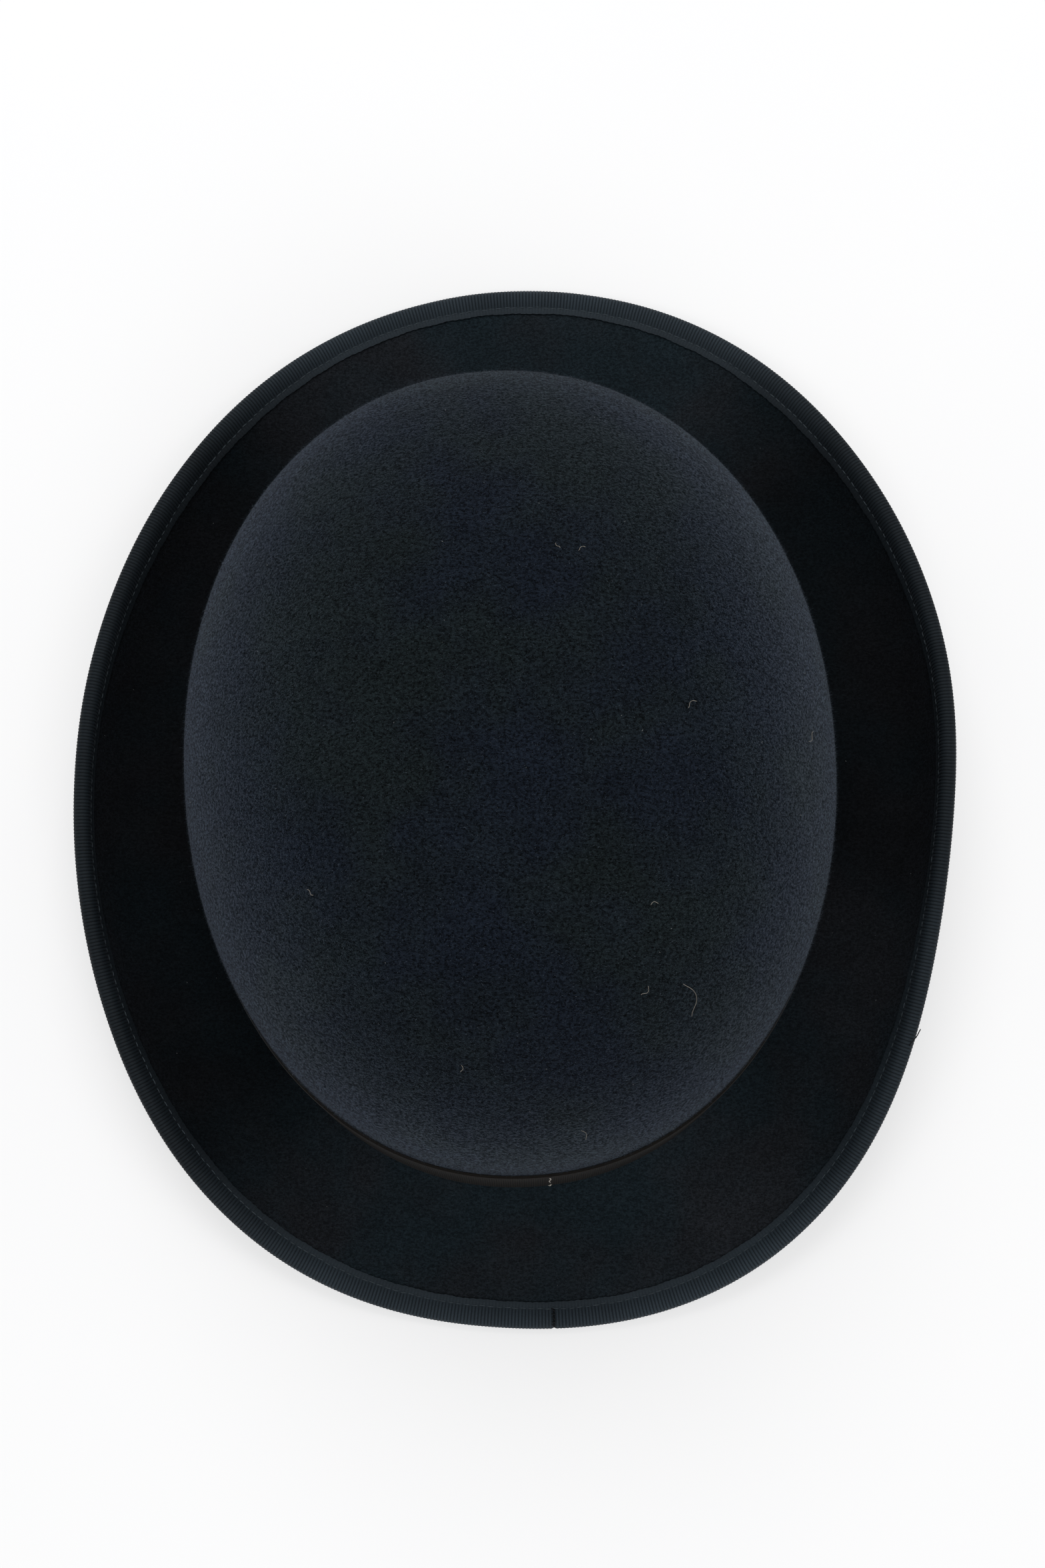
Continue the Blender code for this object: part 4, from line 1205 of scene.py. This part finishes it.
# %% Satin side and tip
SATIN_FINISH = cloth_finish("lining_satin", ink(196, 184, 158), ink(222, 212, 188), 0.28 * MM, 0.24,
                            Specular_IOR_Level=0.6, Sheen_Weight=0.3, Anisotropic=0.4)
LINING_DEPTH = FELT + SATIN_GAP + SATIN / 2
DENSE = np.arange(960) * math.tau / 960
climbs = np.linspace(LINING_SEAM, 0, 14)
rises = np.linspace(GIRTH_HEIGHT, LINING_FOOT, 6)[1:]
rows = np.array([dome_point(DENSE, c) for c in climbs] + [wall_point(DENSE, r) for r in rises])
gather = 0.5 + 0.5 * np.sin(84 * DENSE + 1.5 * np.sin(5 * DENSE) + 0.8 * np.sin(11 * DENSE))
fall = np.exp(-np.arange(len(rows)) / 4.5)
depth = LINING_DEPTH + (0.55 * fall[:, None] + 0.12) * MM * gather
side_rows = rows - depth[..., None] * normals(rows)
side = skin("satin_side", wall_of(side_rows, SATIN), SATIN_FINISH, "satin", "lining_side")

climbs = [math.radians(89.2), *np.linspace(math.radians(87), LINING_SEAM + LINING_PARTING, 26)]
rows = np.array([dome_point(DENSE[::3], c) for c in climbs])
near = np.exp(-np.arange(len(rows))[::-1] / 3.0)[:, None]
depth = LINING_DEPTH + 0.25 * MM * near * gather[::3]
tip_rows = rows - depth[..., None] * normals(rows)
tip = skin("satin_tip", wall_of(tip_rows, SATIN), SATIN_FINISH, "satin", "lining_tip", tips=True)

# %% Twisted piping and the clear shield
PIPING_FINISH = cloth_finish("piping_silk", ink(150, 128, 88), ink(196, 172, 124), 0.3 * MM, 0.3,
                             Specular_IOR_Level=0.6, Sheen_Weight=0.3)
climbs = LINING_SEAM + LINING_PARTING * np.array([1, 0.5, 0])
rows = np.array([dome_point(DENSE, c) for c in climbs])
path = (rows - (LINING_DEPTH + SATIN / 2 + CLEAR + PIPING / 2) * normals(rows))[1]
length = run_length(path)[-1] * len(path) / (len(path) - 1)
lay = length / round(length / (4.5 * MM))
core = 0.86 * PIPING / 2           # the two plies swell out from this to the full radius
loop = strand(path, core, around=16, lobes=2, lay=lay, relief=0.16, closed=True)
skin("twisted_piping", loop, PIPING_FINISH, "piping", "lining_piping")

film = Finish("clear_film", Roughness=0.12, IOR=1.45, Specular_IOR_Level=0.6, Alpha=0.22)
scuff = film.step(film.noise(film.place(), 220, 4, 0.7, (1, 4, 1)), 0.55, 0.75)
FILM = film.wear(film.blend(ink(214, 216, 206), ink(236, 236, 228), scuff), scuff * 0.3 + 0.1)
SHIELD_DEPTH = LINING_DEPTH + SATIN / 2 + 2 * CLEAR + SHIELD / 2
SHIELD_SQUARENESS, SEWN_SHARE, SHIELD_STITCHES = 1.3, 0.965, 96


def lozenge(turn, share=SEWN_SHARE):
    return share * oval(turn, SHIELD_HALF_WIDTH, SHIELD_HALF_LENGTH, SHIELD_SQUARENESS)


def under_tip(turn, share, depth):
    reach = lozenge(turn, share)
    return on_plan(turn, reach, dome_over(turn, reach)[:, 2] - PLACE[2] - depth)


rows = np.array([under_tip(RING, share, SHIELD_DEPTH) for share in (0.03, *np.linspace(0.12, 1, 12))])
out = SHIELD / 2 * UP
loop = np.concatenate([rows + out, (rows - out)[::-1]])
skin("clear_shield", loop, FILM, "clear_film", "lining_shield", tips=True)
turns = even_turns(SHIELD_STITCHES, lozenge)[0]
row = under_tip(turns, SEWN_SHARE, SHIELD_DEPTH + SHIELD / 2 + 0.05 * MM)
sew("shield_stitches", row, onward(row), [-UP] * len(row), TAN_THREAD, "pale_thread",
    Length=1.4 * MM, Thickness=0.12 * MM)

# %% [markdown]
# ## Lint and dust
# Black felt shows every pale hair. A few curled ones lie on the crown, as on a hat that has been
# carried, and a scatter of dust uses the hair tree with short, thick hairs.

# %% Lint on the crown
LINT_FINISH = thread_finish("pale_lint", ink(110, 108, 102), ink(190, 182, 170))
DUST_FINISH = thread_finish("dust", ink(96, 100, 104), ink(176, 178, 178))
LINT = (  # across and along from the crown's middle and length, in mm, and heading, of each hair
    (-43.0, 64.0, 10, 95), (-37.0, 45.5, 2.5, 20), (-34.5, 65.0, 3.5, 60), (-18.0, 99.0, 3.0, 120),
    (-78.5, -2.6, 4.0, 75), (50.3, 41.0, 2.5, 150), (-19.5, -44.0, 2.5, 30), (12.0, 84.0, 2.0, 80),
    (-47.0, -5.0, 3.5, 40), (-12.0, -45.0, 2.0, 110),
)


def on_crown(spots, lift):
    """Points over the dome at places measured from the crown's middle."""
    reach, angle = np.hypot(spots[:, 0], spots[:, 1]), np.arctan2(spots[:, 1], spots[:, 0])
    return dome_over(angle, reach) + UP * np.asarray(lift)[:, None]


hand = np.random.default_rng(11)
points, faces = [], []
for across, along, length, heading in LINT:
    share = np.linspace(0, 1, 26)
    bend = np.radians(heading) + 0.8 * np.sin(5 * share + hand.uniform(0, 6)) + hand.normal(0, 0.2)
    steps = np.stack([np.cos(bend), np.sin(bend)], -1) * length * MM / 26
    spots = np.array([across, along]) * MM + np.cumsum(steps, axis=0)
    hair = strand(on_crown(spots, (0.35 + 0.25 * np.sin(9 * share)) * MM), 0.045 * MM, 5)
    mesh = mesh_of("hair", hair, whole=False)
    faces += [[v + len(points) for v in face.vertices] for face in mesh.polygons]
    points += [tuple(v.co) for v in mesh.vertices]
    bpy.data.meshes.remove(mesh)
mesh = bpy.data.meshes.new("lint")
mesh.from_pydata(points, [], faces)
piece("lint_hairs", mesh, LINT_FINISH, "felt")
DUST = 170
grow("crown_dust", CROWN_SHEET, DUST, DUST_FINISH, Seed=9, Length=0.4 * MM, Thickness=0.06 * MM)
grow("brim_dust", BRIM_SHEET, DUST / 3, DUST_FINISH, Seed=10, Length=0.3 * MM, Thickness=0.05 * MM)

# %% [markdown]
# ## Floor, light and camera
# A black object on white needs a floor just short of pure white and light from all sides, so that
# its edge stays dark and its shadow stays faint. The floor glows a little of its own. Two wide soft
# panels, one in front and a weaker one behind, give the crown its roundness.

# %% Floor
FLOOR_SIZE, FLOOR_GLOW = 3.0, 0.56
floor_mesh = bpy.data.meshes.new("floor")
half, ground = FLOOR_SIZE / 2, cad_box[0][2] - 0.3 * MM
corners = [(-half, -half, ground), (half, -half, ground), (half, half, ground), (-half, half, ground)]
floor_mesh.from_pydata(corners, [], [(0, 1, 2, 3)])
white = Finish("white_table", Roughness=0.9, Specular_IOR_Level=0.1)
soft = white.noise(white.place(), 5, 2)
white.shader.inputs["Emission Color"].default_value = (1, 1, 1, 1)
white.shader.inputs["Emission Strength"].default_value = FLOOR_GLOW
floor_mesh.materials.append(white.wear(white.blend(ink(178, 178, 179), ink(182, 182, 182), soft)))
floor = bpy.data.objects.new("floor", floor_mesh)
bpy.context.scene.collection.objects.link(floor)
print("floor", FLOOR_SIZE, "m square")

# %% Light
world = bpy.data.worlds.new("studio")
world.use_nodes = True
sky = world.node_tree.nodes["Background"]
sky.inputs["Color"].default_value = (0.985, 0.99, 1.0, 1.0)
sky.inputs["Strength"].default_value = 0.5
bpy.context.scene.world = world


def soft_light(name, place, size, power, target=(0, 0, 0.05)):
    lamp = bpy.data.lights.new(name, "AREA")
    lamp.shape, lamp.size, lamp.energy = "DISK", size, power
    made = bpy.data.objects.new(name, lamp)
    made.location = place
    made.rotation_euler = (Vector(place) - Vector(target)).to_track_quat("Z", "Y").to_euler()
    bpy.context.scene.collection.objects.link(made)


soft_light("front_panel", (0.15, -1.2, 1.6), 1.4, 16)
soft_light("back_panel", (-0.3, 1.1, 1.7), 1.2, 9)
print("two soft panels and a bright room")

# %% Camera
CAMERA_REACH, CAMERA_TILT, CAMERA_HEADING = 0.85, math.radians(10.12), math.radians(-0.68)
LENS, SENSOR, ROLL = 70.8, 36.0, math.radians(-0.17)
AIM = Vector((-0.0033, 0.0003, 0.0278))      # from the middle of the band's foot
low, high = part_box("hat_band")
target = Vector(((low.x + high.x) / 2, (low.y + high.y) / 2, low.z)) + AIM
away = Vector((math.sin(CAMERA_HEADING) * math.sin(CAMERA_TILT),
               math.cos(CAMERA_HEADING) * math.sin(CAMERA_TILT), math.cos(CAMERA_TILT)))
right = Vector((0, -1, 0)).cross(away).normalized()
upright = away.cross(right)
turned = Matrix((right, upright, away)).transposed() @ Matrix.Rotation(ROLL, 3, "Z")
lens = bpy.data.cameras.new("camera")
lens.sensor_fit, lens.sensor_height, lens.lens = "VERTICAL", SENSOR, LENS
camera = bpy.data.objects.new("camera", lens)
camera.matrix_world = Matrix.Translation(target + CAMERA_REACH * away) @ turned.to_4x4()
bpy.context.scene.collection.objects.link(camera)
bpy.context.scene.camera = camera
bpy.context.scene.view_settings.view_transform = "Standard"
print("camera target", [round(part, 4) for part in target])
